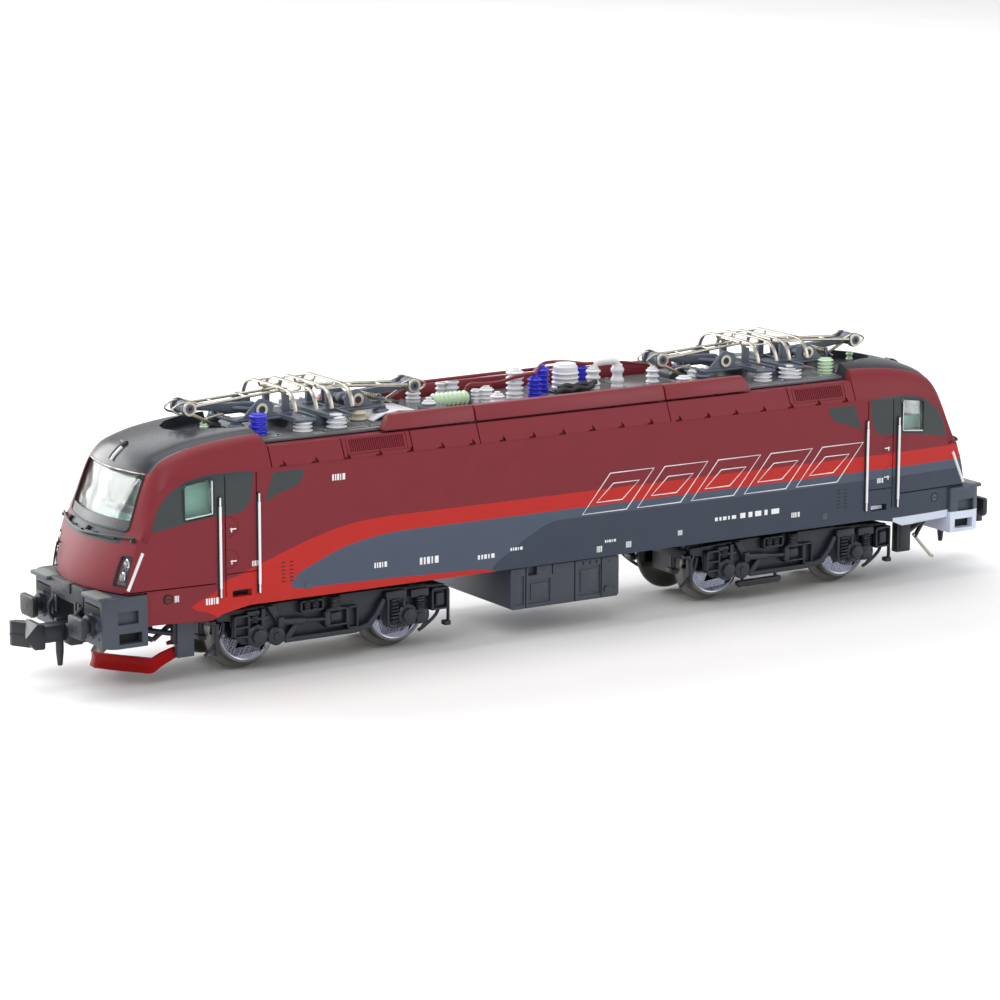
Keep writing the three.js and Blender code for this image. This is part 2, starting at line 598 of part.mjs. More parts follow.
// ---- assembly ----
place(locomotive, 'body_shell', bodyShell(), PAINT.body);
place(locomotive, 'roof_deck', roofDeck(), PAINT.roof);
place(locomotive, 'chassis', chassis(), PAINT.zinc);
place(locomotive, 'motor_case', motorCase(), PAINT.steel);
place(locomotive, 'motor_shaft', rotor(), PAINT.brass);
place(locomotive, 'circuit_board', circuitBoard(), PAINT.green);
place(locomotive, 'underfloor_box', underfloorBox(), PAINT.black);
place(locomotive, 'roof_busbar', roofBusbar(), PAINT.busbar);
place(locomotive, 'circuit_breaker', circuitBreaker(), PAINT.white);

[[-1, 1], [1, 2]].forEach(([side, number]) => {
  const end = turnedGroup(side);
  place(end, `cab_glazing_${number}`, cabGlazing(), PAINT.glass);
  place(end, `light_guide_${number}`, lightGuide(), PAINT.glass);
  place(end, `cab_interior_${number}`, cabInterior(), PAINT.mint);
  place(end, `buffer_beam_${number}`, bufferBeam(), PAINT.slate);
  place(end, `buffer_${number}_left`, buffer(BUFFER_Y), PAINT.black);
  place(end, `buffer_${number}_right`, buffer(-BUFFER_Y), PAINT.black);
  place(end, `coupler_pocket_${number}`, couplerPocket(), PAINT.black);
  place(end, `coupler_head_${number}`, couplerHead(), PAINT.black);
  place(end, `cardan_shaft_${number}`, cardanShaft(), PAINT.black);

  const bogie = turnedGroup(side, BOGIE_X);
  place(bogie, `bogie_frame_${number}`, bogieFrame(), PAINT.black);
  place(bogie, `gear_tower_${number}`, gearTower(), PAINT.black);
  place(bogie, `worm_${number}`, worm(), PAINT.brass);
  const wormWheel = pinnedGear(0, WORM_WHEEL_Z, WORM_WHEEL_R, WORM_WHEEL_TEETH);
  place(bogie, `worm_wheel_${number}`, wormWheel, PAINT.brass);
  [[-1, 'inner'], [1, 'outer']].forEach(([along, where]) => {
    const idler = pinnedGear(along * 2 * PITCH_R, AXLE_Z, PITCH_R, GEAR_TEETH);
    place(bogie, `idler_gear_${number}_${where}`, idler, PAINT.brass);
    place(bogie, `wheelset_${number}_${where}`, wheelset(along * WHEELBASE / 2), PAINT.steel);
  });
});

place(turnedGroup(-1), 'plough', plough(), PAINT.red);

// Pantographs A to D from cab 1 to cab 2; outer ones have the elbow towards their cab.
const PANTOGRAPHS = [
  ['a', -PANTO_OUTER_X, -1], ['b', -PANTO_INNER_X, 1],
  ['c', PANTO_INNER_X, -1], ['d', PANTO_OUTER_X, 1],
];
PANTOGRAPHS.forEach(([letter, x, facing]) => {
  const group = new THREE.Group();
  group.position.x = x;
  group.rotation.z = facing < 0 ? Math.PI : 0;
  locomotive.add(group);
  place(group, `pantograph_${letter}_base`, pantographBase(), PAINT.slate);
  place(group, `pantograph_${letter}_lower_arm`, lowerArm(), PAINT.slate);
  place(group, `pantograph_${letter}_upper_arm`, upperArm(), PAINT.silver);
  place(group, `pantograph_${letter}_head`, collectorHead(), PAINT.silver);
});

export default locomotive;
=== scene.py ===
"""Looks of an N gauge model electric locomotive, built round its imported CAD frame.

Sizes in this file are millimetres; a piece is scaled to metres when it is finished.
+X runs towards cab 2, +Y is the left side and +Z is up, with z = 0 at the wheel flanges.
"""
import math

import bmesh
import bpy
from mathutils import Matrix, Vector


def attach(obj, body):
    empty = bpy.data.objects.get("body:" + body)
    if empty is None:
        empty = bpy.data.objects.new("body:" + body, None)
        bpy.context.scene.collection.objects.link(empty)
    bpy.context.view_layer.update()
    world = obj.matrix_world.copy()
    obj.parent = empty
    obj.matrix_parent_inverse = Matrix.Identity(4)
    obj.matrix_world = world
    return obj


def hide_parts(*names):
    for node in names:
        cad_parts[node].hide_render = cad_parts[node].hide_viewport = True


MM = 0.001
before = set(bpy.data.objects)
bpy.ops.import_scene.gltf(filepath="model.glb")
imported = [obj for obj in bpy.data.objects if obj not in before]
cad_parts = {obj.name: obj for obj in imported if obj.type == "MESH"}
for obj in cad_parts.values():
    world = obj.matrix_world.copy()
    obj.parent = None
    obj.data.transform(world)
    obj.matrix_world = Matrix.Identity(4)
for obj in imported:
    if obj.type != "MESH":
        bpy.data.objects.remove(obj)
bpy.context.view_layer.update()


def rgb(red, green, blue):
    """Scene-linear colour from display values of 0 to 255."""
    def linear(value):
        """Linear share of an 8-bit sRGB level."""
        value /= 255
        return value / 12.92 if value <= 0.04045 else ((value + 0.055) / 1.055) ** 2.4
    return (linear(red), linear(green), linear(blue), 1.0)


# ---- materials ----
class Shader:
    """A Principled material with helpers for the nodes that vary it."""

    def __init__(self, name, **sockets):
        self.material = bpy.data.materials.new(name)
        self.material.use_nodes = True
        self.nodes = self.material.node_tree.nodes
        self.links = self.material.node_tree.links
        self.bsdf = self.nodes["Principled BSDF"]
        for key, value in sockets.items():
            self.bsdf.inputs[key.replace("_", " ")].default_value = value
        scaled = self.nodes.new("ShaderNodeVectorMath")
        scaled.operation = "SCALE"
        scaled.inputs["Scale"].default_value = 1 / MM
        self.links.new(self.node("TexCoord").outputs["Object"], scaled.inputs[0])
        self.mm = scaled.outputs[0]

    def link(self, source, socket):
        """Sets a socket to a constant or joins a source to it."""
        if isinstance(source, (int, float, tuple)):
            socket.default_value = source
        else:
            self.links.new(source, socket)

    def node(self, kind, **inputs):
        """Adds a node, and sets or links its named inputs."""
        node = self.nodes.new("ShaderNode" + kind)
        for key, value in inputs.items():
            self.link(value, node.inputs[key.replace("_", " ")])
        return node

    def painted(self, color, roughness):
        """Gives the surface its colour and roughness and returns the material."""
        self.link(color, self.bsdf.inputs["Base Color"])
        self.link(roughness, self.bsdf.inputs["Roughness"])
        return self.material

    def math(self, operation, a, b=0.0, c=0.0, clamp=False):
        """The result of one Math node."""
        node = self.nodes.new("ShaderNodeMath")
        node.operation = operation
        node.use_clamp = clamp
        for socket, value in zip(node.inputs, (a, b, c)):
            self.link(value, socket)
        return node.outputs[0]

    def above(self, value, edge, soft=0.06):
        """0 below the edge and 1 above it, with a border `soft` wide."""
        gap = self.math("SUBTRACT", value, edge)
        return self.math("MULTIPLY_ADD", gap, 1 / soft, 0.5, clamp=True)

    def both(self, *masks):
        """Where all the masks are 1."""
        result = masks[0]
        for mask in masks[1:]:
            result = self.math("MULTIPLY", result, mask)
        return result

    def curve(self, value, points, low, high, top=30.0):
        """A height that follows `value` through points, each (value, height)."""
        ramp = self.node("MapRange", Value=value, From_Min=low, From_Max=high)
        node = self.node("FloatCurve", Value=ramp.outputs[0])
        line = node.mapping.curves[0]
        scaled = [((x - low) / (high - low), z / top) for x, z in points]
        while len(line.points) < len(scaled):
            line.points.new(0.5, 0.5)
        for point, place in zip(line.points, scaled):
            point.location = place
            point.handle_type = "AUTO_CLAMPED"
        node.mapping.update()
        return self.math("MULTIPLY", node.outputs[0], top)

    def noise(self, scale, detail=3.0, stretch=(1, 1, 1)):
        """Noise over the surface, in millimetres."""
        mapping = self.node("Mapping", Vector=self.mm, Scale=stretch)
        return self.node("TexNoise", Vector=mapping.outputs[0], Scale=scale, Detail=detail).outputs[0]

    def mix(self, factor, a, b, blend="MIX"):
        """Colour a going over to colour b."""
        node = self.nodes.new("ShaderNodeMix")
        node.data_type = "RGBA"
        node.blend_type = blend
        self.link(factor, node.inputs["Factor"])
        self.link(a, node.inputs["A"])
        self.link(b, node.inputs["B"])
        return node.outputs["Result"]

    def range(self, value, low, high):
        """Spreads a noise, which lies mostly from 0.25 to 0.75, over low to high."""
        node = self.node("MapRange", Value=value, From_Min=0.25, From_Max=0.75, To_Min=low, To_Max=high)
        return node.outputs[0]

    def bump(self, height, strength, distance):
        """Makes a height, in millimetres, show as relief."""
        node = self.node("Bump", Height=height, Strength=strength, Distance=distance * MM)
        self.link(node.outputs[0], self.bsdf.inputs["Normal"])


def tinted(color, factor):
    """A lighter or darker version of a colour."""
    return tuple(min(1.0, v * factor) for v in color[:3]) + (1.0,)


def plastic(name, color, roughness, grain=9.0, spread=0.12, relief=0.03, stretch=(1, 1, 1), **sockets):
    """Moulded or painted surface: cloudy colour, uneven gloss and a fine skin."""
    shader = Shader(name, **sockets)
    cloud = shader.noise(0.35, 4.0, stretch)
    fine = shader.noise(grain, 3.0, stretch)
    dark = tinted(color, 1 - spread)
    base = shader.mix(shader.range(cloud, 0.0, 1.0), dark, tinted(color, 1 + spread))
    speck = shader.mix(shader.range(fine, 0.0, 0.25), base, dark)
    shader.bump(fine, 0.35, relief)
    return shader.painted(speck, shader.range(fine, roughness * 0.85, roughness * 1.15))


BODY_RED = rgb(122, 34, 44)
STRIPE_RED = rgb(184, 34, 28)
SLATE = rgb(74, 84, 102)
DARK_SLATE = rgb(56, 65, 79)
ROOF_BLACK = rgb(52, 54, 60)
FILM_BLACK = rgb(58, 64, 66)
SKIRT_SILVER = rgb(206, 214, 232)

# Livery lines on the body side, as (x, z).
STRIPE_TOP = [
    (-60, 6.0), (-49.1, 8.3), (-48.85, 8.85), (-48.5, 9.2), (-46.9, 9.85), (-45.9, 10.45), (-45.2, 11.15),
    (-43.3, 11.76), (-39.8, 12.98), (-36.5, 14.07), (-33.0, 15.09), (-30.1, 15.72), (-27.3, 16.04),
    (-21.0, 16.15), (60, 16.15),
]
STRIPE_LOW = [(-60, 9.0), (-48.9, 8.75), (-48.5, 8.45), (-47.4, 8.15), (-46.5, 7.8), (-45.6, 7.2), (60, 7.0)]
SLATE_TOP = [
    (-60, 9.6), (-37.2, 9.6), (-36.7, 10.35), (-35.9, 11.1), (-33.0, 12.36), (-30.2, 13.37),
    (-27.3, 13.93), (-24.4, 14.25), (-21.0, 14.35), (60, 14.35),
]
SLATE_LOW = [
    (-60, 9.8), (-37.2, 9.8), (-36.6, 9.45), (-30.2, 9.28), (-24.4, 9.16), (-18.5, 8.95),
    (-13.0, 8.72), (-10.5, 8.2), (-9.0, 6.5), (60, 6.5),
]
DARK_TOP = [
    (-60, 6.5), (-13.0, 6.5), (-11.6, 8.3), (-10.6, 9.5), (-9.0, 10.32), (-7.4, 11.38), (-5.8, 12.17),
    (-4.2, 12.9), (-2.5, 13.25), (60, 13.25),
]
# Lower and upper edge of the dark glazing band at each cab, as (distance from the middle, z).
BAND_LOW = [
    (34.0, 23.5), (35.1, 23.2), (35.4, 21.7), (36.07, 20.86), (37.6, 20.39), (40.25, 19.5), (40.5, 23.5),
    (41.2, 23.5), (41.5, 21.3), (42.0, 19.4), (42.84, 18.6), (44.8, 18.41), (46.4, 18.35), (53.5, 17.3),
    (56, 17.0),
]
BAND_HIGH = [
    (34.0, 22.5), (40.8, 22.5), (41.2, 22.85), (45.4, 23.0), (47.7, 22.8), (49.8, 22.2), (51.1, 21.4),
    (52.3, 20.2), (53.0, 18.8), (53.5, 17.2), (56, 16.0),
]


def livery():
    """Maroon, orange and slate paint, placed by height and distance along the body."""
    shader = Shader("body_livery", Metallic=0.0, Specular_IOR_Level=0.3)
    x, y, z = shader.node("SeparateXYZ", Vector=shader.mm).outputs
    reach = shader.math("ABSOLUTE", x)
    width = shader.math("ABSOLUTE", y)

    def between(along, low, high):
        """Where z lies between two lines given over `along`."""
        ends = (low[0][0], low[-1][0])
        return shader.both(
            shader.above(z, shader.curve(along, low, *ends)),
            shader.above(shader.curve(along, high, *ends), z),
        )

    stripe = between(x, STRIPE_LOW, STRIPE_TOP)
    slate = between(x, SLATE_LOW, SLATE_TOP)
    dark = shader.above(shader.curve(x, DARK_TOP, DARK_TOP[0][0], DARK_TOP[-1][0]), z)
    side = shader.above(width, 8.55, 0.1)
    band = between(reach, BAND_LOW, BAND_HIGH)
    slant = shader.math("MULTIPLY_ADD", z, 0.354, reach)
    quarter = shader.above(47.0, slant)
    glass = shader.both(band, side, shader.math("MAXIMUM", quarter, shader.above(reach, 41.0)))
    roof = shader.both(shader.above(7.0, width), shader.above(z, 23.25), shader.above(reach, 38.0))
    brow = shader.both(
        shader.above(reach, 53.5), shader.above(6.6, width), shader.above(z, 16.0, 0.2),
        shader.above(17.3, z),
    )
    silver = shader.both(shader.above(x, 45.1), shader.above(8.2, z), shader.above(width, 8.0))

    cloud = shader.noise(0.3, 4.0)
    fine = shader.noise(11.0, 3.0)
    color = shader.mix(stripe, BODY_RED, STRIPE_RED)
    color = shader.mix(slate, color, SLATE)
    color = shader.mix(shader.both(dark, slate), color, DARK_SLATE)
    color = shader.mix(silver, color, SKIRT_SILVER)
    color = shader.mix(glass, color, FILM_BLACK)
    color = shader.mix(shader.math("MAXIMUM", roof, brow), color, ROOF_BLACK)
    shade = shader.mix(shader.range(cloud, 0.0, 1.0), (0.93, 0.93, 0.93, 1), (1, 1, 1, 1))
    color = shader.mix(1.0, color, shade, "MULTIPLY")
    satin = shader.range(fine, 0.40, 0.50)
    gloss = shader.math("MAXIMUM", shader.math("MULTIPLY", glass, 0.6), roof)
    shader.bump(fine, 0.3, 0.02)
    return shader.painted(color, shader.math("MULTIPLY_ADD", gloss, -0.2, satin))


def turned_metal(name, color, roughness, rings=14.0, relief=0.01):
    """Bright metal with fine machining lines round its axis."""
    shader = Shader(name, Metallic=1.0)
    lines = shader.noise(rings, 2.0, (1, 6, 1))
    cloud = shader.noise(0.5, 3.0)
    tint = shader.mix(shader.range(cloud, 0.0, 1.0), tinted(color, 0.78), color)
    shader.bump(lines, 0.4, relief)
    return shader.painted(tint, shader.range(lines, roughness * 0.75, roughness * 1.3))


def clear(name, color, roughness):
    """Clear moulding, with slightly uneven tint and polish."""
    shader = Shader(name, Transmission_Weight=1.0, IOR=1.45, Alpha=0.6)
    fine = shader.noise(3.0)
    tint = shader.mix(shader.range(fine, 0.0, 1.0), color, tinted(color, 0.97))
    return shader.painted(tint, shader.range(fine, roughness, roughness * 2))


MATERIALS = {
    "body": livery(),
    "maroon": plastic("maroon_paint", BODY_RED, 0.45, spread=0.05),
    "roof": plastic("roof_grey", rgb(118, 121, 124), 0.24, spread=0.15, Metallic=0.35),
    "slate": plastic("slate_moulding", rgb(72, 80, 90), 0.5),
    "panto": plastic("slate_frame", rgb(84, 92, 106), 0.45),
    "black": plastic("black_moulding", rgb(30, 34, 40), 0.42),
    "bogie": plastic("bogie_moulding", rgb(33, 38, 47), 0.42, spread=0.18),
    "beam": plastic("beam_moulding", rgb(68, 76, 88), 0.5),
    # Near-black painted shade: laid inside slots, gaps and vents and behind the handrails, where shade falls.
    "painted_shade": plastic("painted_shade_black", rgb(22, 23, 25), 0.7),
    "red": plastic("plough_red", rgb(150, 8, 10), 0.22, spread=0.08, Specular_IOR_Level=0.12),
    "steel": turned_metal("wheel_steel", rgb(176, 180, 200), 0.2),
    "flange": turned_metal("dark_tyre", rgb(128, 128, 124), 0.2),
    "dark_red": plastic("dark_red_paint", rgb(92, 20, 28), 0.4),
    "brass": turned_metal("brass", rgb(200, 160, 80), 0.35),
    "zinc": plastic("die_casting", rgb(120, 124, 128), 0.5, Metallic=0.8),
    "silver": turned_metal("pantograph_silver", rgb(205, 200, 188), 0.32, 9.0),
    "spring": turned_metal("spring_wire", rgb(176, 168, 150), 0.3, 9.0),
    "clear": clear("clear_moulding", rgb(236, 242, 244), 0.03),
    "lamp": clear("lamp_glass", rgb(240, 242, 246), 0.08),
    "mint": plastic("mint_plastic", rgb(168, 226, 206), 0.5, spread=0.06),
    "green": plastic("circuit_board", rgb(44, 106, 68), 0.4),
    "white": plastic("white_moulding", rgb(226, 228, 232), 0.35, spread=0.05),
    "cream": plastic("cream_moulding", rgb(206, 198, 178), 0.45, spread=0.08),
    "blue": plastic("blue_moulding", rgb(52, 52, 205), 0.3, spread=0.12),
    "pale_green": plastic("pale_green_moulding", rgb(198, 222, 190), 0.35, spread=0.06),
    "busbar": plastic("busbar_red", rgb(122, 22, 30), 0.4),
    "print": plastic("white_print", rgb(236, 236, 238), 0.45, spread=0.03, relief=0.01),
    "lamp_grey": plastic("lamp_bezel", rgb(120, 122, 126), 0.35),
    "carbon": plastic("contact_strip", rgb(150, 148, 142), 0.4, Metallic=0.7),
    "hose": plastic("grey_hose", rgb(36, 38, 43), 0.45),
    "box": plastic("box_moulding", rgb(56, 62, 73), 0.45),
    "silver_beam": plastic("silver_paint", SKIRT_SILVER, 0.35),
    # The beam's grey made lighter: a painted highlight for the lit tops of the step pads.
    "pad_highlight": plastic("step_pad_highlight", rgb(120, 126, 122), 0.5),
    "frame": plastic("window_rubber", rgb(24, 26, 30), 0.35),
    "rail_white": plastic("handrail_white", rgb(240, 240, 244), 0.25, spread=0.03),
    "lining": plastic("cab_lining", rgb(236, 242, 240), 0.6, spread=0.03),
    "film": plastic("dark_film", rgb(44, 48, 52), 0.3),
    "chrome": turned_metal("lamp_reflector", rgb(236, 236, 240), 0.25, 9.0),
    "beam_dark": plastic("beam_moulding_dark", rgb(60, 66, 78), 0.4, spread=0.16),
}


# ---- mesh work ----
UP = (0, 0, 1)
FORWARD = (1, 0, 0)


def cleaned(bm, soft, segments=2, angle=30):
    """Rounds the edges sharper than `angle` by `soft`."""
    if soft > 0:
        limit = math.radians(angle)
        edges = [e for e in bm.edges if len(e.link_faces) == 2 and e.calc_face_angle() > limit]
        bmesh.ops.bevel(
            bm, geom=edges, offset=soft, segments=segments, profile=0.5,
            affect="EDGES", clamp_overlap=True,
        )
    return bm


def block(x0, x1, y0, y1, z0, z1, soft=0.12):
    """A block between two corners, with rounded edges."""
    bm = bmesh.new()
    centre = Vector((x0 + x1, y0 + y1, z0 + z1)) / 2
    size = Vector((abs(x1 - x0), abs(y1 - y0), abs(z1 - z0)))
    bmesh.ops.create_cube(bm, size=1.0, matrix=Matrix.Translation(centre) @ Matrix.Diagonal(size).to_4x4())
    return cleaned(bm, min(soft, min(size) * 0.4))


def skinned(rings, soft=0.0, angle=30, closed=False):
    """A skin through rings of points, with a face on each end unless it is closed."""
    bm = bmesh.new()
    rings = [[bm.verts.new(point) for point in ring] for ring in rings]
    if closed:
        rings.append(rings[0])
    else:
        bm.faces.new(rings[0])
        bm.faces.new(rings[-1][::-1])
    count = len(rings[0])
    for near, far in zip(rings, rings[1:]):
        for i in range(count):
            j = (i + 1) % count
            bm.faces.new((near[i], near[j], far[j], far[i]))
    bmesh.ops.recalc_face_normals(bm, faces=bm.faces)
    return cleaned(bm, soft, angle=angle)


def slab(*corners):
    """A block with sharp edges, to cut with."""
    return block(*corners, soft=0)


def plate(outline, plane, low, high, soft=0.1):
    """An outline in plane "xz", "yz" or "xy", given thickness along the third axis."""
    place = {
        "xz": lambda a, b, c: (a, c, b),
        "yz": lambda a, b, c: (c, a, b),
        "xy": lambda a, b, c: (a, b, c),
    }[plane]
    return skinned([[place(a, b, at) for a, b in outline] for at in (low, high)], soft)


def turned(profile, centre, axis=UP, sides=24):
    """A turned piece: profile points are (distance along the axis, radius)."""
    bm = bmesh.new()
    turn = Vector((0, 0, 1)).rotation_difference(Vector(axis))
    centre = Vector(centre)
    rings = []
    for along, radius in profile:
        if radius < 1e-6:
            rings.append([bm.verts.new(centre + turn @ Vector((0, 0, along)))])
            continue
        ring = []
        for i in range(sides):
            a = math.tau * i / sides
            ring.append(
                bm.verts.new(centre + turn @ Vector((radius * math.cos(a), radius * math.sin(a), along))),
            )
        rings.append(ring)
    for lower, upper in zip(rings, rings[1:]):
        for i in range(sides):
            j = (i + 1) % sides
            corners = [
                lower[i % len(lower)], lower[j % len(lower)], upper[j % len(upper)], upper[i % len(upper)],
            ]
            unique = list(dict.fromkeys(corners))
            if len(unique) > 2:
                bm.faces.new(unique)
    for ring in (rings[0], rings[-1]):
        if len(ring) > 1:
            bm.faces.new(ring)
    bmesh.ops.recalc_face_normals(bm, faces=bm.faces)
    return bm


def boss(centre, axis, radius, height, face=None, sides=20, hole=0.0):
    """A short turned boss, `radius` at its foot and `face` at its face."""
    face = radius if face is None else face
    return turned([(0, hole), (0, radius), (height, face), (height, hole)], centre, axis, sides)


def bar(a, b, radius, sides=14, end=None):
    """A round bar between two points, with slightly rounded ends."""
    a, b = Vector(a), Vector(b)
    length = (b - a).length
    end = radius if end is None else end
    lip = min(radius, end) * 0.25
    profile = [
        (0, 0), (0, radius - lip), (lip, radius), (length - lip, end), (length, end - lip), (length, 0),
    ]
    return turned(profile, a, (b - a).normalized(), sides)


def rod(points, radius, sides=10, closed=False):
    """A bent wire or tube through points."""
    points = [Vector(p) for p in points]
    count = len(points)
    directions = []
    for i, p in enumerate(points):
        before = points[i - 1] if i or closed else p
        after = points[(i + 1) % count] if i + 1 < count or closed else p
        directions.append((after - before).normalized())
    normal = directions[0].orthogonal().normalized()
    rings = []
    for i, (p, direction) in enumerate(zip(points, directions)):
        if i:
            normal = directions[i - 1].rotation_difference(direction) @ normal
        side = direction.cross(normal)
        rings.append([
            p + radius * (math.cos(a) * normal + math.sin(a) * side)
            for a in (math.tau * k / sides for k in range(sides))
        ])
    return skinned(rings, closed=closed)


def smooth_path(points, steps=6):
    """Points of a rounded line through the given ones."""
    points = [Vector(p) for p in points]
    padded = [2 * points[0] - points[1]] + points + [2 * points[-1] - points[-2]]
    path = []
    for p0, p1, p2, p3 in zip(padded, padded[1:], padded[2:], padded[3:]):
        for k in range(steps):
            t = k / steps
            path.append(0.5 * (
                2 * p1 + (p2 - p0) * t + (2 * p0 - 5 * p1 + 4 * p2 - p3) * t ** 2
                + (3 * p1 - p0 - 3 * p2 + p3) * t ** 3
            ))
    return path + [points[-1]]


def coil(a, b, radius, wire, turns, sides=6, per_turn=14):
    """A coil spring between two points."""
    a, b = Vector(a), Vector(b)
    turn = Vector((0, 0, 1)).rotation_difference((b - a).normalized())
    length = (b - a).length
    path = []
    for i in range(int(turns * per_turn) + 1):
        angle = math.tau * i / per_turn
        along = length * i / (turns * per_turn)
        path.append(a + turn @ Vector((radius * math.cos(angle), radius * math.sin(angle), along)))
    return rod(path, wire, sides)


def sheds(count, height, radius, neck=0.74):
    """Turned profile of a ribbed insulator, whose waists are `neck` of its radius."""
    step = height / count
    rib = ((0.12, neck), (0.3, 0.94), (0.45, 1.0), (0.6, 0.97), (0.8, neck))
    profile = [(0, 0), (0, radius * neck)]
    for i in range(count):
        profile += [((i + along) * step, radius * share) for along, share in rib]
    return profile + [(height, radius * neck), (height, 0)]


def absorb(target, part):
    """Moves the faces of one mesh into another."""
    mesh = bpy.data.meshes.new("part")
    part.to_mesh(mesh)
    part.free()
    target.from_mesh(mesh)
    bpy.data.meshes.remove(mesh)


def placed(name, data):
    """A new object in the scene."""
    thing = bpy.data.objects.new(name, data)
    bpy.context.scene.collection.objects.link(thing)
    return thing


class Piece:
    """One shown object, gathered from parts that each have their material."""

    def __init__(self, name, body="root", replaced=(), flip=False, at=(0, 0, 0)):
        self.name = name
        self.body = body
        self.replaced = replaced
        self.bm = bmesh.new()
        self.slots = []
        turn = Matrix.Rotation(math.pi, 4, "Z") if flip else Matrix.Identity(4)
        self.matrix = Matrix.Translation(Vector(at)) @ turn

    def add(self, material, *parts):
        """Takes parts in, with one material for all of their faces."""
        if material not in self.slots:
            self.slots.append(material)
        for part in parts:
            for face in part.faces:
                face.material_index = self.slots.index(material)
            bmesh.ops.transform(part, matrix=self.matrix, verts=part.verts)
            absorb(self.bm, part)

    def finish(self, sharp=38, slot=None):
        """Turns the piece into an object, attached to its body and covering its CAD nodes."""
        for vertex in self.bm.verts:
            vertex.co *= MM
        mesh = bpy.data.meshes.new(self.name)
        self.bm.to_mesh(mesh)
        self.bm.free()
        for key in self.slots:
            mesh.materials.append(MATERIALS[key])
        mesh.shade_smooth()
        mesh.set_sharp_from_angle(angle=math.radians(sharp))
        thing = placed(self.name, mesh)
        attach(thing, self.body)
        if self.replaced:
            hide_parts(*self.replaced)


def boolean(whole, tools, operation="DIFFERENCE"):
    """Cuts the joined tools from a mesh, and returns the new mesh."""
    joined = bmesh.new()
    for tool in tools:
        absorb(joined, tool)
    things = []
    for name, bm in (("whole", whole), ("tools", joined)):
        mesh = bpy.data.meshes.new(name)
        bm.to_mesh(mesh)
        bm.free()
        things.append(placed(name, mesh))
    modifier = things[0].modifiers.new("cut", "BOOLEAN")
    modifier.operation = operation
    modifier.solver = "EXACT"
    modifier.object = things[1]
    bpy.context.view_layer.update()
    evaluated = things[0].evaluated_get(bpy.context.evaluated_depsgraph_get())
    result = bmesh.new()
    result.from_mesh(evaluated.to_mesh())
    evaluated.to_mesh_clear()
    for thing in things:
        mesh = thing.data
        bpy.data.objects.remove(thing)
        bpy.data.meshes.remove(mesh)
    return result


# ---- body envelope: the CAD shell's outline with rounded lines ----
HALF_WIDTH = 9.4
TAPER_X = 42.0
REACH = 16.6
ROOF_Z = 27.2
SHOULDER_Z = 17.2
CORNER_Y = 8.8
BULGE_Y = 5.4
EDGE_DRAW = 0.68
BODY_CORNER_X = 55.8
# Planes clear of the side, the nose and the skirt, for tools that cut right through.
OUTSIDE = 12.0
PAST_NOSE = 60.0
BELOW_SKIRT = 5.0
NOSE_LINE = [(58.6, 11.0), (58.45, 12.2), (58.0, 14.0), (57.45, 15.6), (57.15, 16.35)]
BROW_LINE = [
    (56.5, 17.05), (55.95, 18.5), (55.3, 20.2), (54.6, 22.0), (53.85, 23.5), (52.95, 24.6), (51.7, 25.4),
    (49.0, 26.25), (46.8, 26.65), (44.5, 26.93), (42.0, 27.12), (40.0, 27.2), (38.0, 27.2),
]
CROWN = [
    (0, 0), (2.5, 0.04), (4.0, 0.12), (5.5, 0.33), (6.2, 0.56), (6.7, 0.84), (6.95, 0.80), (7.15, 0.82),
    (7.5, 1.0), (7.9, 1.32), (8.3, 1.86), (8.55, 2.36), (8.8, 2.92), (9.1, 3.55), (9.28, 3.96),
    (9.36, 4.25), (9.4, 4.7),
]


def crown(y):
    """How far the roof has fallen from its middle at width y."""
    for (y0, fall0), (y1, fall1) in zip(CROWN, CROWN[1:]):
        if y <= y1:
            return fall0 + (fall1 - fall0) * (y - y0) / (y1 - y0)
    return CROWN[-1][1]


def squeeze(x, y):
    """Where a point of the centre outline lies at width y."""
    edge = max(0.0, (y - CORNER_Y) / (HALF_WIDTH - CORNER_Y))
    bulge = (min(y, CORNER_Y) / BULGE_Y) ** 1.7
    return TAPER_X + (x - TAPER_X) * (1 - bulge / REACH) * (1 - EDGE_DRAW * edge) if x > TAPER_X else x


def half_outline(y, inset=0.0, low=None):
    """Outline of one end at width y, from the skirt up to the roof."""
    outer = min(HALF_WIDTH, y * HALF_WIDTH / (HALF_WIDTH - inset))
    path = smooth_path([(x, 0, z) for x, z in NOSE_LINE], 3)
    path += smooth_path([(x, 0, z) for x, z in BROW_LINE], 3)
    limit = squeeze(NOSE_LINE[0][0] - 0.3, outer) - inset
    skirt = [
        (TAPER_X, 8.3), (45.2, 7.72), (48.6, 7.15), (53.95, 7.3), (54.0, 10.98),
    ] if low is None else [(57.4, low)]
    result = [(min(x, limit), z) for x, z in skirt]
    for x, z in [(p.x, p.z) for p in path]:
        share = max(0.0, (z - SHOULDER_Z) / (ROOF_Z - SHOULDER_Z))
        drop = inset if z > 20 else 0.0
        result.append((squeeze(x, outer) - inset * (x > TAPER_X), z - crown(outer) * share - drop))
    return result


def envelope(inset=0.0, low=None):
    """Closed solid of the body outline, drawn in by `inset`."""
    widths = [w for w, _ in CROWN[1:]] + [1.2, 3.3, 4.8, 5.9, 6.45, 8.1]
    widths = sorted(w * (HALF_WIDTH - inset) / HALF_WIDTH for w in widths)
    stations = [-w for w in reversed(widths)] + [0.0] + widths
    rings = []
    for y in stations:
        half = half_outline(abs(y), inset, low)
        rings.append([(x, y, z) for x, z in half + [(-x, z) for x, z in reversed(half)]])
    return skinned(rings)


def mirrored(bm, *axes):
    """A copy of the mesh mirrored across the given axes."""
    copy = bm.copy()
    for axis in axes:
        for vertex in copy.verts:
            vertex.co[axis] *= -1
    if len(axes) % 2:
        bmesh.ops.reverse_faces(copy, faces=copy.faces)
    return copy


def both_ends(*tools):
    """Each tool and its copy at the other end."""
    return [copy for tool in tools for copy in (mirrored(tool, 0), tool)]


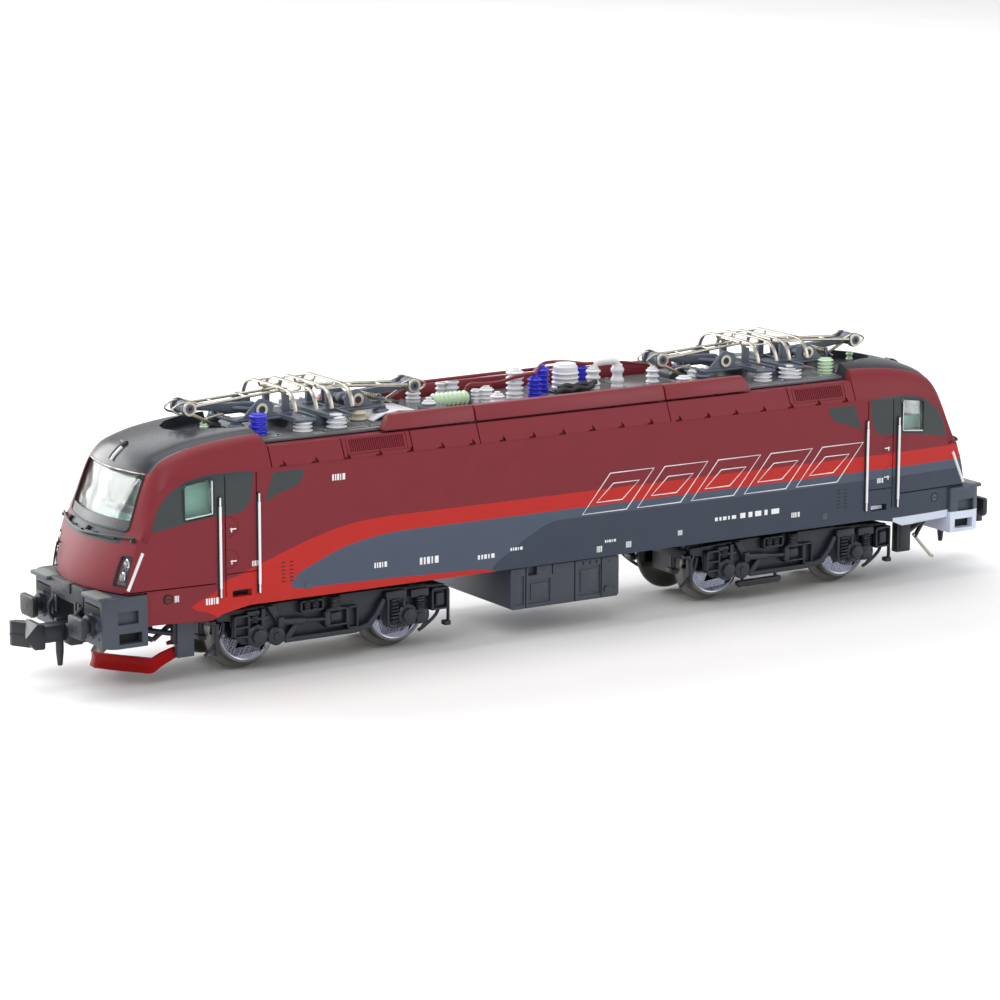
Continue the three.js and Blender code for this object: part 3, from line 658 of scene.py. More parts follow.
def both_sides(*tools):
    """Each tool and its copy on the other side."""
    return [copy for tool in tools for copy in (mirrored(tool, 1), tool)]


def four_ways(*tools):
    """Each tool at both ends and on both sides of the body."""
    return both_ends(*both_sides(*tools))


# Headlight opening and windscreen, as (y, z).
LAMP_OUTLINE = [
    (6.95, 11.75), (8.45, 11.8), (8.62, 11.95), (8.66, 14.75), (8.5, 14.92), (7.45, 14.9), (7.25, 14.75),
    (6.85, 11.95),
]
SCREEN_LOW = 17.25
SCREEN_HIGH = 23.15


def screen_outline(shy=0.0):
    """The windscreen as (y, z), `shy` smaller all round."""
    corner = 0.5
    low, high = SCREEN_LOW + shy, SCREEN_HIGH - shy
    wide, narrow = 6.9 - shy, 6.6 - shy
    right = [
        (wide - corner, low), (wide - 0.12, low + 0.12), (wide, low + corner),
        (narrow, high - corner), (narrow - 0.12, high - 0.12), (narrow - corner, high),
    ]
    return right + [(-y, z) for y, z in reversed(right)]


def side_window_outline(shy=0.0):
    """The side window as (x, z), `shy` smaller all round."""
    return [
        (46.2 + shy, 18.75 + shy), (46.4 + shy, 18.55 + shy), (49.45 - shy, 18.2 + shy),
        (49.65 - shy, 18.4 + shy), (49.65 - shy, 21.8 - shy), (49.45 - shy, 22.1 - shy),
        (46.45 + shy, 22.55 - shy), (46.2 + shy, 22.35 - shy),
    ]


def window_tools(shy=0.0):
    """Solids that fill the windows of the cab at +X, `shy` smaller all round."""
    return [
        plate(screen_outline(shy), "yz", 51.0, PAST_NOSE, soft=0),
        *both_sides(plate(side_window_outline(shy), "xz", 7.0, OUTSIDE, soft=0)),
    ]


def wall_layer(outer, inner):
    """The layer of the body's wall between two depths below its surface."""
    return boolean(envelope(outer, BELOW_SKIRT), [envelope(inner, BELOW_SKIRT)])


DOOR_X = (41.1, 44.88)
PANEL_LOW = 23.0


def hollow_shell():
    """The body's wall with its roof recess, windows, lamp openings and step pits."""
    cavity = boolean(envelope(0.9, BELOW_SKIRT), [slab(-60, 60, -OUTSIDE, OUTSIDE, 0, 24.0)], "INTERSECT")
    shell = boolean(envelope(), [cavity])
    recess = [(-39.25, 25.15), (39.25, 25.15), (40.3, 28.5), (-40.3, 28.5)]
    shell = boolean(shell, [plate(recess, "xz", -OUTSIDE, OUTSIDE, soft=0)])
    shell = boolean(shell, [slab(-37.9, 37.9, -6.9, 6.9, 20, 25.6)])
    edge = [(39.0, 5.2), (41.5, 5.0), (45.6, 3.2), (47.0, 1.6)]
    alcove = [(x, -y) for x, y in edge] + [(47.4, 0)] + edge[::-1]
    shell = boolean(shell, both_ends(*window_tools(), plate(alcove, "xy", 25.75, 29, soft=0)))
    return boolean(shell, four_ways(
        plate(LAMP_OUTLINE, "yz", 54.6, PAST_NOSE, soft=0),
        slab(41.75, 44.1, 8.5, OUTSIDE, 9.35, 10.1),
        boss((51.6, 8.7, 10.0), (0, 1, 0), 0.55, 2),
    ))


def body_shell():
    """The shell with its door, panel and roof joints, notches and grilles."""
    shell = hollow_shell()
    wide, deep = 0.07, HALF_WIDTH - 0.22
    shell = boolean(shell, four_ways(*[slab(x - wide, x + wide, deep, OUTSIDE, 9.5, 22.75) for x in DOOR_X]))
    lines = [
        slab(DOOR_X[0] + wide, DOOR_X[1] - wide, deep, OUTSIDE, 11.9, 12.03),
        slab(46.1, 56.5, 8.0, OUTSIDE, 11.05, 11.18),
    ]
    for z0, z1 in ((12.5, 14.7), (15.97, 18.25)):
        middle = (z0 + z1) / 2
        arc = []
        for k in range(13):
            a = math.pi * (k / 12 - 0.5)
            arc.append((44.75 - 1.4 * math.cos(a), HALF_WIDTH + 0.03, middle + (z1 - z0) / 2 * math.sin(a)))
        lines.append(rod(arc, 0.09, 6))
    shell = boolean(shell, four_ways(*lines))
    # The groove that frames the side glass from above.
    groove = [
        (44.9, 9.75, 23.2), (46.4, 9.72, 23.12), (47.8, 9.68, 22.95), (49.2, 9.6, 22.6), (50.4, 9.5, 22.1),
        (51.5, 9.42, 21.3), (52.4, 9.35, 20.3), (53.1, 9.3, 19.0), (53.6, 9.22, 17.7), (54.2, 9.15, 16.4),
    ]
    shell = boolean(shell, four_ways(rod(smooth_path(groove, 3), 0.5, 14)))
    # Joints across the sloping panel, notches below it and grilles on it.
    joint_x = (-39.15, -30.2, -21.55, -12.9, 12.7, 29.7, 39.15)
    joints = [slab(x - wide, x + wide, -OUTSIDE, -8.0, PANEL_LOW, 25.6) for x in joint_x]
    shell = boolean(shell, both_sides(*joints))
    notches = []
    notch = [(-0.5, 22.98), (0.35, 22.98), (0.35, 23.2), (0.05, 23.62), (-0.12, 23.2), (-0.5, 23.15)]
    for k in range(20):
        x = -37.7 + 3.97 * k
        outline = [(x + along, z) for along, z in notch]
        notches.append(plate(outline, "xz", -OUTSIDE, -(HALF_WIDTH - 0.42), soft=0))
    shell = boolean(shell, both_sides(*notches))
    grilles = [slab(-38.6, 38.6, -OUTSIDE, -(HALF_WIDTH - 0.07), 22.93, 23.01)]
    slope = math.atan2(HALF_WIDTH - 8.3, 25.4 - 23.05)
    tilt = Matrix.Translation((0, -8.87, 24.3)) @ Matrix.Rotation(-slope, 4, "X")

    def on_slope(x0, x1, z0, z1, depth):
        """A box laid on the slope of the roof edge."""
        tool = slab(x0, x1, -0.4, depth, z0, z1)
        bmesh.ops.transform(tool, matrix=tilt, verts=tool.verts)
        return tool

    count = 26
    for x0, x1 in ((-29.7, -22.1), (30.3, 37.9)):
        for k in range(count):
            x = x0 + 0.35 + (x1 - x0 - 0.7) * (k + 0.5) / count
            grilles.append(on_slope(x - 0.075, x + 0.075, -0.7, 0.72, 0.22))
        grilles += [on_slope(x0, x1, -0.98, -0.9, 0.14), on_slope(x0, x1, 0.92, 1.0, 0.14)]
        grilles += [on_slope(x0, x0 + 0.08, -0.85, 0.87, 0.14), on_slope(x1 - 0.08, x1, -0.85, 0.87, 0.14)]
    return boolean(shell, both_sides(*grilles))


def fairing_pieces():
    """Long covers beside the roof deck, in three lengths."""
    parts = []
    foot_z, height = 25.42, 1.7
    section = [(8.38, foot_z), (8.0, 26.6), (7.72, 27.05), (7.4, 27.12), (7.02, 27.1), (7.02, foot_z)]
    for ends in (((-24.7, 0.9), (-13.0, 0)), ((-12.8, 0), (12.55, 0)), ((12.75, 0), (24.7, -0.9))):
        rings = [[(x + tilt * (z - foot_z) / height, y, z) for y, z in section] for x, tilt in ends]
        parts += both_sides(skinned(rings, 0.1))
    return parts


shell = Piece("body_shell_painted", "root", ["body_shell"])
shell.add("body", body_shell())
shell.add("maroon", *fairing_pieces())
shell.finish(sharp=28, slot="body_paint")


# ---- more shapes ----
# Number and direction of each cab, and of the bogie below it.
ENDS = ((1, -1), (2, 1))


def ribbon(points, width, thick):
    """A flat strip through points, `width` wide along X."""
    points = [Vector(p) for p in points]
    rings = []
    for i, p in enumerate(points):
        ahead = (points[min(i + 1, len(points) - 1)] - points[max(i - 1, 0)]).normalized()
        normal = ahead.cross(Vector(FORWARD)).normalized() * thick / 2
        side = Vector((width / 2, 0, 0))
        rings.append([p + a * side + b * normal for a, b in ((-1, -1), (1, -1), (1, 1), (-1, 1))])
    return skinned(rings, min(width, thick) * 0.2, angle=50)


def frame_box(x0, x1, y0, y1, z0, z1, rim=0.22):
    """A box that is open on the side facing -Y: a rim and a back wall."""
    return [
        block(x0, x0 + rim, y0, y1, z0, z1, 0.05), block(x1 - rim, x1, y0, y1, z0, z1, 0.05),
        block(x0, x1, y0, y1, z0, z0 + rim, 0.05), block(x0, x1, y0, y1, z1 - rim, z1, 0.05),
        block(x0, x1, y1 - 0.15, y1, z0, z1, 0),
    ]


def bolt(centre, axis, radius=0.22, height=0.14):
    """A six-sided bolt head on a thin washer."""
    return turned(
        [
            (0, 0), (0, radius * 1.3), (height * 0.3, radius * 1.3), (height * 0.35, radius),
            (height, radius * 0.9), (height, 0),
        ],
        centre, axis, 6,
    )


def nose_x(y, z):
    """Where the front of the body stands at width y and height z."""
    outline = half_outline(abs(y))
    for (x0, z0), (x1, z1) in zip(outline[::-1], outline[-2::-1]):
        if min(z0, z1) <= z <= max(z0, z1) and z0 != z1:
            return x0 + (x1 - x0) * (z - z0) / (z1 - z0)
    return outline[5][0]


def side_y(x):
    """Half width of the body at a place along it."""
    edge = (1 - (abs(x) - TAPER_X) / (BODY_CORNER_X - TAPER_X)) / EDGE_DRAW
    return CORNER_Y + (HALF_WIDTH - CORNER_Y) * min(1.0, max(0.0, edge))


# ---- pantographs, drawn about the lower pivot with the elbow towards +X ----
DECK_Z = 25.6
PIVOT_Z = 27.9
ELBOW = Vector((8.4, 0, 28.7))
HEAD = Vector((-3.4, 0, 29.6))
STRIP_Z = 30.4
PANTOGRAPHS = [("a", -36.5, True), ("b", -25.2, False), ("c", 25.2, True), ("d", 36.5, False)]


def insulator(x, y, top, radius, ribs=3):
    """A ribbed insulator from the roof deck up to `top`."""
    return turned(sheds(ribs, top - DECK_Z, radius, 0.66), (x, y, DECK_Z), UP, 22)


def pantograph(letter, x, flip):
    """The frame, lower arm, upper arm and collector, each over the CAD node it replaces."""
    base = Piece(f"pantograph_{letter}_frame", "root", [f"pantograph_{letter}_base"], flip, (x, 0, 0))
    tray = [
        (-5.0, -5.5), (-4.5, -6.0), (-2.6, -6.0), (-2.1, -5.5), (-2.1, 5.5), (-2.6, 6.0), (-4.5, 6.0),
        (-5.0, 5.5),
    ]
    base.add("panto", plate(tray, "xy", 26.85, 27.1, 0.06))
    base.add(
        "panto", block(-5.0, -4.7, -5.5, 5.5, 27.05, 27.35, 0.06),
        block(-2.4, -2.1, -5.5, 5.5, 27.05, 27.35, 0.06), block(3.1, 3.8, -3.2, 3.2, 26.85, 27.25, 0.1),
        block(-0.5, 0.2, -2.6, 2.6, 26.9, 27.2, 0.08),
    )
    cheek = [
        (-2.3, 26.9), (3.7, 26.85), (3.75, 27.15), (2.5, 27.35), (0.85, 29.0), (0.5, 29.25), (0.0, 29.2),
        (-1.0, 28.8), (-1.2, 28.3), (-1.1, 27.4), (-2.3, 27.3),
    ]
    for side in (-1, 1):
        base.add("panto", plate(cheek, "xz", side * 2.62 - 0.14, side * 2.62 + 0.14, 0.05))
        base.add("panto", block(-3.3, -2.6, side * 2.6, side * 1.9, 27.0, 29.3, 0.08))
        base.add("panto", block(-3.5, -2.4, side * 2.8, side * 1.7, 27.0, 27.5, 0.1))
        base.add("panto", bar((-2.3, side * 2.9, 27.05), (3.4, side * 2.9, 27.05), 0.16))
        base.add("silver", boss((0.35, side * 2.62 + side * 0.2, 28.1), (0, side, 0), 0.72, 0.22, hole=0.42))
        base.add("black", boss((0.35, side * 2.9, 28.1), (0, side, 0), 0.45, 0.16, 0.4, 16))
        base.add("silver", bolt((-4.0, side * 4.4, 27.1), UP), bolt((3.45, side * 1.2, 27.25), UP, 0.18))
    base.add("spring", coil((1.2, -1.95, 28.5), (3.5, -1.95, 27.85), 0.3, 0.085, 9))
    base.add(
        "panto", bar((3.45, -1.95, 27.85), (4.3, -1.95, 27.6), 0.16),
        block(3.4, 3.8, -2.3, -1.6, 27.1, 28.3, 0.08),
    )
    base.add("silver", rod([(3.6, 0.55, 27.1), (3.9, 0.55, 27.6), (5.6, 0.5, 27.3), (6.6, 0.5, 26.7)], 0.13))
    base.add("white", *[insulator(-3.5, y, 26.9, 1.1) for y in (5.1, -5.1)])
    base.add("panto", turned(
        [(0, 0), (0, 1.45), (0.25, 1.45), (0.3, 1.3), (1.05, 1.3), (1.1, 1.4), (1.25, 1.35), (1.25, 0)],
        (-4.4, -2.4, DECK_Z), UP, 28,
    ))
    base.add("panto", *[insulator(3.4, y, 26.9, 0.95, 2) for y in (2.7, -2.7)])
    base.finish(slot="slate_metal")

    lower = Piece(
        f"pantograph_{letter}_lower", f"panto_{letter}_lower", [f"pantograph_{letter}_lower_arm"], flip,
        (x, 0, 0),
    )
    lower.add("panto", bar((0, -2.4, PIVOT_Z), (0, 2.4, PIVOT_Z), 0.4))
    arm = [
        (-0.75, 27.75), (-0.2, 27.3), (2.0, 27.6), (8.2, 28.35), (8.6, 28.75), (8.1, 29.05), (1.6, 28.6),
        (-0.3, 28.5),
    ]
    lower.add("panto", plate(arm, "xz", -0.5, 0.5, 0.22))
    lower.add(
        "panto",
        turned(
            [(0, 0), (0, 0.6), (0.15, 0.68), (1.35, 0.68), (1.5, 0.6), (1.5, 0)], (ELBOW.x, -0.75, ELBOW.z),
            (0, 1, 0), 20,
        ),
    )
    for side in (-1, 1):
        lower.add(
            "panto",
            rod([(0.0, side * 1.9, PIVOT_Z), (1.2, side * 1.3, 28.0), (2.6, side * 0.3, 28.1)], 0.24, 8),
        )
        lower.add("silver", bolt((7.2, side * 0.5, 28.6), (0, side, 0), 0.16))
    lower.add(
        "spring",
        plate([(3.9, 26.15), (4.3, 26.0), (8.75, 28.15), (8.6, 28.4), (8.2, 28.35)], "xz", 0.62, 0.9, 0.05),
    )
    lower.finish(slot="slate_metal")

    upper = Piece(
        f"pantograph_{letter}_upper", f"panto_{letter}_upper", [f"pantograph_{letter}_upper_arm"], flip,
        (x, 0, 0),
    )
    for side in (-1, 1):
        start, end = ELBOW + Vector((-0.3, side * 1.35, 0.1)), HEAD + Vector((0, side * 0.75, 0))
        upper.add("silver", bar(start, end, 0.2, 12, 0.15))
        upper.add(
            "panto",
            turned(
                [(0, 0), (0, 0.85), (0.4, 0.85), (0.5, 0.7), (0.5, 0)], (ELBOW.x, side * 1.05, ELBOW.z),
                (0, side, 0), 24,
            ),
        )
        upper.add(
            "silver", boss((ELBOW.x, side * 1.55, ELBOW.z), (0, side, 0), 0.8, 0.12, 0.78, 24, hole=0.5),
        )
        upper.add("panto", boss((ELBOW.x, side * 1.6, ELBOW.z), (0, side, 0), 0.55, 0.12, 0.5))
        upper.add("black", bolt((ELBOW.x, side * 1.7, ELBOW.z), (0, side, 0), 0.2, 0.12))
        loop = (
            (-1.6, 1.25, 0.25), (-0.4, 1.2, 0.62), (0.7, 1.1, 0.6), (1.5, 1.0, 0.25),
            (1.75, 0.95, -0.05), (1.3, 1.0, -0.45), (0.2, 1.15, -0.75),
        )
        path = [ELBOW + Vector((along, side * out, rise)) for along, out, rise in loop]
        upper.add("silver", rod(smooth_path(path, 3), 0.11, 8))
    for share in (0.3, 0.62):
        point = ELBOW.lerp(HEAD, share)
        half = 1.35 + (0.75 - 1.35) * share
        upper.add("silver", bar((point.x, -half, point.z), (point.x, half, point.z), 0.12, 10))
    upper.add("silver", bar((HEAD.x, -2.3, HEAD.z), (HEAD.x, 2.3, HEAD.z), 0.17, 12))
    upper.finish(slot="panto_silver")

    head = Piece(
        f"pantograph_{letter}_collector", f"panto_{letter}_collector", [f"pantograph_{letter}_head"], flip,
        (x, 0, 0),
    )
    horn = [
        (-6.05, 28.05), (-5.85, 28.7), (-5.5, 29.35), (-4.95, 29.85), (-4.2, 30.15), (-3.2, 30.26),
        (-1.6, 30.28),
    ]
    horn += [(-y, z) for y, z in reversed(horn)]
    for along in (-1.3, 1.3):
        place = HEAD.x + along
        head.add("silver", ribbon(smooth_path([(place, y, z) for y, z in horn], 3), 0.46, 0.18))
        head.add("carbon", block(place - 0.22, place + 0.22, -3.9, 3.9, 30.3, STRIP_Z, 0.03))
    yoke = ((-1.3, 30.15), (-1.1, 29.75), (0, 29.55), (1.1, 29.75), (1.3, 30.15))
    for side in (-1, 1):
        head.add("silver", rod([(HEAD.x + along, side * 2.35, z) for along, z in yoke], 0.15, 10))
        head.add(
            "spring",
            coil((HEAD.x + 0.55, side * 2.0, 29.0), (HEAD.x + 0.55, side * 2.0, 29.7), 0.24, 0.07, 5),
        )
        head.add("silver", bar((HEAD.x - 1.3, side * 4.6, 29.98), (HEAD.x + 1.3, side * 4.6, 29.98), 0.1, 8))
    head.finish(slot="panto_silver")


for letter, x, flip in PANTOGRAPHS:
    pantograph(letter, x, flip)


# ---- roof equipment ----
def jar(x, y, top, radius, ribs, cap=0.0):
    """A ribbed post with a plain foot and, where `cap` is set, a turned cap."""
    foot = boss((x, y, DECK_Z), UP, radius * 0.95, 0.3, radius * 0.9)
    body = turned(sheds(ribs, top - DECK_Z - 0.3, radius), (x, y, DECK_Z + 0.3), UP, 24)
    if not cap:
        return [foot, body]
    return [foot, body, boss((x, y, top), UP, radius * 0.45, cap, radius * 0.4, 14)]


roof = Piece("roof_deck_panels", "root", ["roof_deck"])
roof.add("roof", block(-39.1, 39.1, -6.8, 6.8, 25.2, DECK_Z, 0.08))
for x0, x1 in (
    (-39.0, -31.2), (-30.9, -19.6), (-19.2, -12.6), (-12.2, 12.2), (12.6, 19.2), (19.6, 30.9), (31.2, 39.0),
):
    roof.add("roof", block(x0, x1, -6.3, 6.3, DECK_Z - 0.1, DECK_Z + 0.12, 0.06))
for k in range(14):
    x = -36.4 + 5.6 * k
    for y in (-5.95, 5.95):
        roof.add("steel", bolt((x, y, DECK_Z + 0.1), UP, 0.2, 0.14))
roof.finish(slot="roof_grey")

gear = Piece("roof_equipment", "root", ["roof_busbar", "circuit_breaker"])
# Ribbed posts as (x, y, top, radius, ribs, cap height).
JARS = (
    ("white", (-9.3, 5.0, 27.6, 0.72, 3), (-8.3, 4.4, 27.8, 0.88, 3), (-13.4, 4.4, 27.4, 0.9, 3)),
    ("white", (-7.6, 0.4, 27.2, 0.55, 3), (-6.3, 0.1, 27.3, 0.88, 3, 0.3), (-6.5, -2.6, 27.0, 0.85, 2, 0.25)),
    ("white", (-2.1, 0.7, 28.9, 1.05, 5, 0.25), (8.9, 1.1, 28.1, 0.88, 3, 0.2), (12.0, 0.7, 28.3, 0.8, 2)),
    ("white", (15.8, -1.0, 27.8, 0.8, 3, 0.25), (-15.3, -2.2, 27.0, 0.82, 2, 0.35)),
    ("blue", (0.2, 0.1, 27.9, 0.85, 4, 0.3), (2.3, 1.9, 28.6, 0.95, 5, 0.3), (9.1, 4.2, 27.9, 0.95, 4, 0.2)),
    ("blue", (-38.1, -4.4, 28.0, 1.05, 4)),
    ("black", (-9.0, 0.7, 27.0, 0.8, 3)),
    ("pale_green", (38.2, -4.6, 27.5, 0.95, 4)),
)
for material, *jars in JARS:
    for place in jars:
        gear.add(material, *jar(*place))
bridge = [(9.0, 1.1, 28.1), (9.3, 1.1, 28.6), (10.4, 0.9, 28.75), (11.6, 0.7, 28.7), (12.0, 0.7, 28.2)]
gear.add("white", rod(smooth_path(bridge, 4), 0.42, 12))
gear.add("black", block(3.0, 8.0, 0.2, 3.4, DECK_Z, 25.9, 0.2))
gear.add("white", turned(sheds(4, 2.2, 1.6, 0.9), (5.3, 1.5, 25.9), UP, 36))
gear.add(
    "white",
    turned(
        [(0, 0), (0, 1.45), (0.5, 1.42), (0.6, 1.3), (0.85, 1.2), (0.9, 0.0)], (5.3, 1.5, 28.05), UP, 30,
    ),
)
for lift, start in ((0.0, 2.5), (0.35, 3.1)):
    hose = [(start + 1.1 * k, -0.9 + 0.12 * k + lift, 26.1 + lift + 0.22 * (k % 2)) for k in range(6)]
    gear.add("hose", rod(smooth_path(hose, 4), 0.3, 10))
gear.add("pale_green", turned(sheds(8, 4.6, 0.88, 0.78), (-13.6, 0.0, 26.4), FORWARD, 24))
gear.add(
    "slate", block(-14.2, -13.6, -0.5, 0.7, DECK_Z, 26.8, 0.12),
    block(-9.1, -8.6, -0.5, 0.7, DECK_Z, 26.8, 0.12),
)
for path in (
    [
        (-8.9, 0.4, 27.1), (-8.4, 0.3, 27.8), (-6.3, 0.1, 27.75), (-4.2, 0.1, 27.8), (-2.6, -0.4, 28.3),
        (-0.6, -0.2, 28.4), (0.2, 0.1, 28.3),
    ],
    [
        (0.2, 0.1, 28.3), (3.0, 2.6, 28.9), (6.0, 2.9, 28.8), (8.0, 1.6, 28.6), (8.9, 1.1, 28.6),
        (9.1, 1.1, 28.2),
    ],
    [(-12.6, 3.6, 28.0), (-4.0, 3.4, 28.15), (4.0, 3.3, 28.2), (11.6, 3.3, 28.2)],
    [(11.6, 3.3, 28.2), (14.6, 3.4, 27.9), (17.0, 3.4, 27.5), (19.4, 3.4, 27.3)],
    [(-19.6, 3.6, 27.2), (-16.0, 3.6, 27.2), (-13.6, 4.2, 27.6), (-12.6, 3.6, 28.0)],
):
    gear.add("busbar", rod(smooth_path(path, 4), 0.2, 10))
sheet = [
    (-23.6, 25.7), (-22.2, 26.3), (-20.4, 26.55), (-18.4, 26.4), (-17.0, 25.7), (-16.9, 25.8),
    (-18.3, 26.55), (-20.4, 26.7), (-22.3, 26.45), (-23.7, 25.8),
]
gear.add("white", plate(sheet, "xz", -4.2, 0.6, 0.03))
gear.add("slate", block(-22.0, -18.2, -3.6, 0.0, DECK_Z, 26.0, 0.1))
for x, y, radius in (
    (-28.9, -5.2, 1.1), (32.3, -5.0, 1.1), (-31.6, 2.6, 0.9), (31.2, 2.8, 0.9), (17.7, -4.6, 0.95),
    (21.8, -1.2, 0.9),
):
    gear.add("white", insulator(x, y, 27.2, radius))
gear.add("cream", turned(sheds(2, 1.3, 1.0, 0.7), (-24.6, -2.6, DECK_Z), UP, 22))
gear.add("pale_green", turned(sheds(2, 1.2, 0.45, 0.7), (46.0, 0.9, 25.7), UP, 16))
gear.add("pale_green", turned(sheds(2, 1.1, 0.5, 0.7), (-43.0, -1.2, 25.7), UP, 16))
gear.add(
    "black", block(-19.4, -16.4, 2.4, 5.4, DECK_Z, 26.4, 0.2),
    block(13.2, 18.6, -5.4, -2.6, DECK_Z, 26.3, 0.2),
)
gear.add(
    "slate", block(-16.2, -13.9, -5.2, -1.2, DECK_Z, 26.5, 0.15),
    block(20.0, 22.6, 1.6, 4.8, DECK_Z, 26.4, 0.15),
)
gear.finish(slot="insulator_white")

# ---- bogies and wheels ----
BOGIE_X = 31.05
HALF_BASE = 9.4
AXLE_Z = 4.5


# What a bogie's side carries, placed from its pivot. Lugs are (x0, x1, outside, z0, z1, rounding), open
# boxes (x0, x1, outside, z0, z1, rim), springs (x, y, z0, z1, radius, wire, turns), pipes (radius, points).
LUGS = (
    (-12.2, -10.5, -8.25, 5.45, 5.65, 0.04), (-10.7, -9.2, -8.3, 6.75, 7.25, 0.12),
    (-10.4, -8.0, -8.2, 6.1, 6.45, 0.12), (-8.95, -8.5, -8.25, 5.4, 7.35, 0.06),
    (-7.0, -6.3, -8.5, 5.1, 6.2, 0.12), (-1.2, -0.5, -8.45, 4.6, 6.1, 0.12),
    (-0.5, 1.0, -8.25, 6.15, 6.45, 0.12), (-0.4, 0.9, -8.2, 7.4, 7.65, 0.12),
    (-0.3, 1.0, -8.15, 4.9, 5.8, 0.1), (6.6, 9.2, -8.35, 6.4, 7.35, 0.12),
    (9.8, 12.1, -8.3, 6.3, 7.2, 0.12), (10.2, 11.9, -8.3, 4.55, 4.85, 0.06),
    (13.1, 14.1, -8.2, 5.0, 6.4, 0.12),
)
OPEN_BOXES = (
    (-12.3, -10.4, -8.3, 4.4, 6.9, 0.22), (-4.1, -1.2, -8.2, 6.3, 7.6, 0.22),
    (-1.05, 1.75, -8.3, 4.35, 6.3, 0.2), (1.75, 3.1, -8.2, 3.75, 6.3, 0.2),
    (12.5, 14.7, -8.25, 4.5, 7.0, 0.22),
)
SPRINGS = (
    (-9.7, -7.95, 5.9, 6.9, 0.38, 0.11, 4), (-3.2, -7.9, 6.45, 7.45, 0.36, 0.12, 4),
    (-2.2, -7.9, 6.45, 7.45, 0.36, 0.12, 4), (0.25, -7.95, 6.4, 7.6, 0.5, 0.15, 5),
    (7.75, -7.95, 3.7, 6.4, 0.5, 0.13, 7), (11.1, -7.95, 4.8, 6.3, 0.5, 0.13, 5),
)
PIPES = (
    (0.17, (6.85, -8.25, 6.5), (6.85, -8.25, 4.0), (7.15, -8.25, 3.4), (7.8, -8.25, 3.2), (8.5, -8.25, 3.4),
     (8.85, -8.25, 4.0), (8.85, -8.25, 6.5)),
    (0.16, (12.1, -7.9, 4.7), (12.15, -7.9, 4.0), (11.9, -7.9, 3.3), (11.4, -7.9, 2.8)),
    (0.2, (-13.2, -7.5, 6.2), (-13.5, -7.5, 5.0), (-14.6, -7.5, 3.6), (-15.5, -7.4, 2.8)),
    (0.2, (13.9, -7.5, 4.8), (13.4, -7.5, 3.8), (12.2, -7.4, 2.8), (11.3, -7.2, 2.2)),
)


def bogie_flank():
    """One side of a bogie as (material, part) pairs; the outside faces -Y."""
    inner, face, out = -6.9, -7.5, (0, -1, 0)
    solebar = [
        (-14.2, 7.3), (-14.2, 6.4), (-12.2, 6.2), (-11.9, 4.4), (-11.0, 3.5), (-7.6, 3.4), (-6.2, 3.25),
        (2.75, 3.25), (4.67, 3.65), (6.2, 5.4), (6.9, 3.3), (9.0, 3.2), (11.6, 3.0), (12.2, 4.5),
        (14.6, 4.6), (14.6, 7.2), (9.0, 7.45), (6.2, 7.6), (-6.0, 7.6), (-10.0, 7.45),
    ]
    sill = [
        (-6.0, 3.2), (2.8, 3.2), (4.75, 3.6), (5.8, 4.9), (6.7, 6.4), (6.2, 6.7), (5.2, 5.1), (4.3, 4.15),
        (2.6, 3.75), (-6.0, 3.75),
    ]
    links = (
        [(-8.2, 7.5), (-7.3, 7.5), (-6.3, 5.6), (-6.9, 5.5)],
        [(-6.4, 3.4), (-5.4, 3.4), (-4.4, 5.0), (-4.9, 5.2)],
    )
    parts = [plate(solebar, "xz", face, inner, 0.08), plate(sill, "xz", -8.2, face, 0.07)]
    parts += [plate(link, "xz", -8.1, face, 0.06) for link in links]

    def hub(x, z, radius, shoulder, end, height, sides):
        """A turned boss on the face of the frame."""
        profile = [(0, 0), (0, radius), (shoulder, radius), (height, end), (height, 0)]
        return turned(profile, (x, face, z), out, sides)

    parts += [hub(-6.95, 4.05, 1.05, 0.45, 0.85, 0.6, 24), hub(11.4, 3.9, 0.72, 0.5, 0.55, 0.6, 18)]
    axle_z = AXLE_Z - 0.1
    for x in (-HALF_BASE, HALF_BASE):
        parts.append(hub(x, axle_z, 1.3, 0.7, 1.1, 0.85, 8))
        cap = [(0, 0), (0, 0.85), (0.35, 0.8), (0.45, 0.6), (0.45, 0)]
        parts.append(turned(cap, (x, face - 0.85, axle_z), out, 8))
        for k in range(4):
            a = math.pi / 4 + math.pi / 2 * k
            spot = (x + 0.95 * math.cos(a), face - 0.83, axle_z + 0.95 * math.sin(a))
            parts.append(bolt(spot, out, 0.13, 0.1))
    parts += [block(x0, x1, y, face, z0, z1, soft) for x0, x1, y, z0, z1, soft in LUGS]
    for x0, x1, y, z0, z1, rim in OPEN_BOXES:
        parts += frame_box(x0, x1, y, face, z0, z1, rim)
    parts += [rod(smooth_path(points, 3), radius, 8) for radius, *points in PIPES]
    # Damper, then guard irons and steps at both ends.
    parts += [
        bar((-6.6, -8.15, 5.66), (-3.6, -8.15, 5.45), 0.42),
        bar((-3.6, -8.15, 5.45), (-1.0, -8.15, 5.27), 0.22),
        block(-14.4, -14.0, -7.9, -7.0, 2.7, 6.6, 0.06), block(-15.0, -14.0, -7.9, -7.0, 6.2, 6.6, 0.06),
        block(14.4, 15.2, -7.9, -7.0, 2.5, 3.0, 0.08), block(14.9, 15.15, -7.7, -7.3, 2.8, 6.6, 0.05),
    ]
    dark = [coil((x, y, z0), (x, y, z1), *spring) for x, y, z0, z1, *spring in SPRINGS]
    dark.append(boss((-6.95, face - 0.6, 4.05), out, 0.5, 0.12, 0.45, 16))
    return [("bogie", part) for part in parts] + [("black", part) for part in dark]


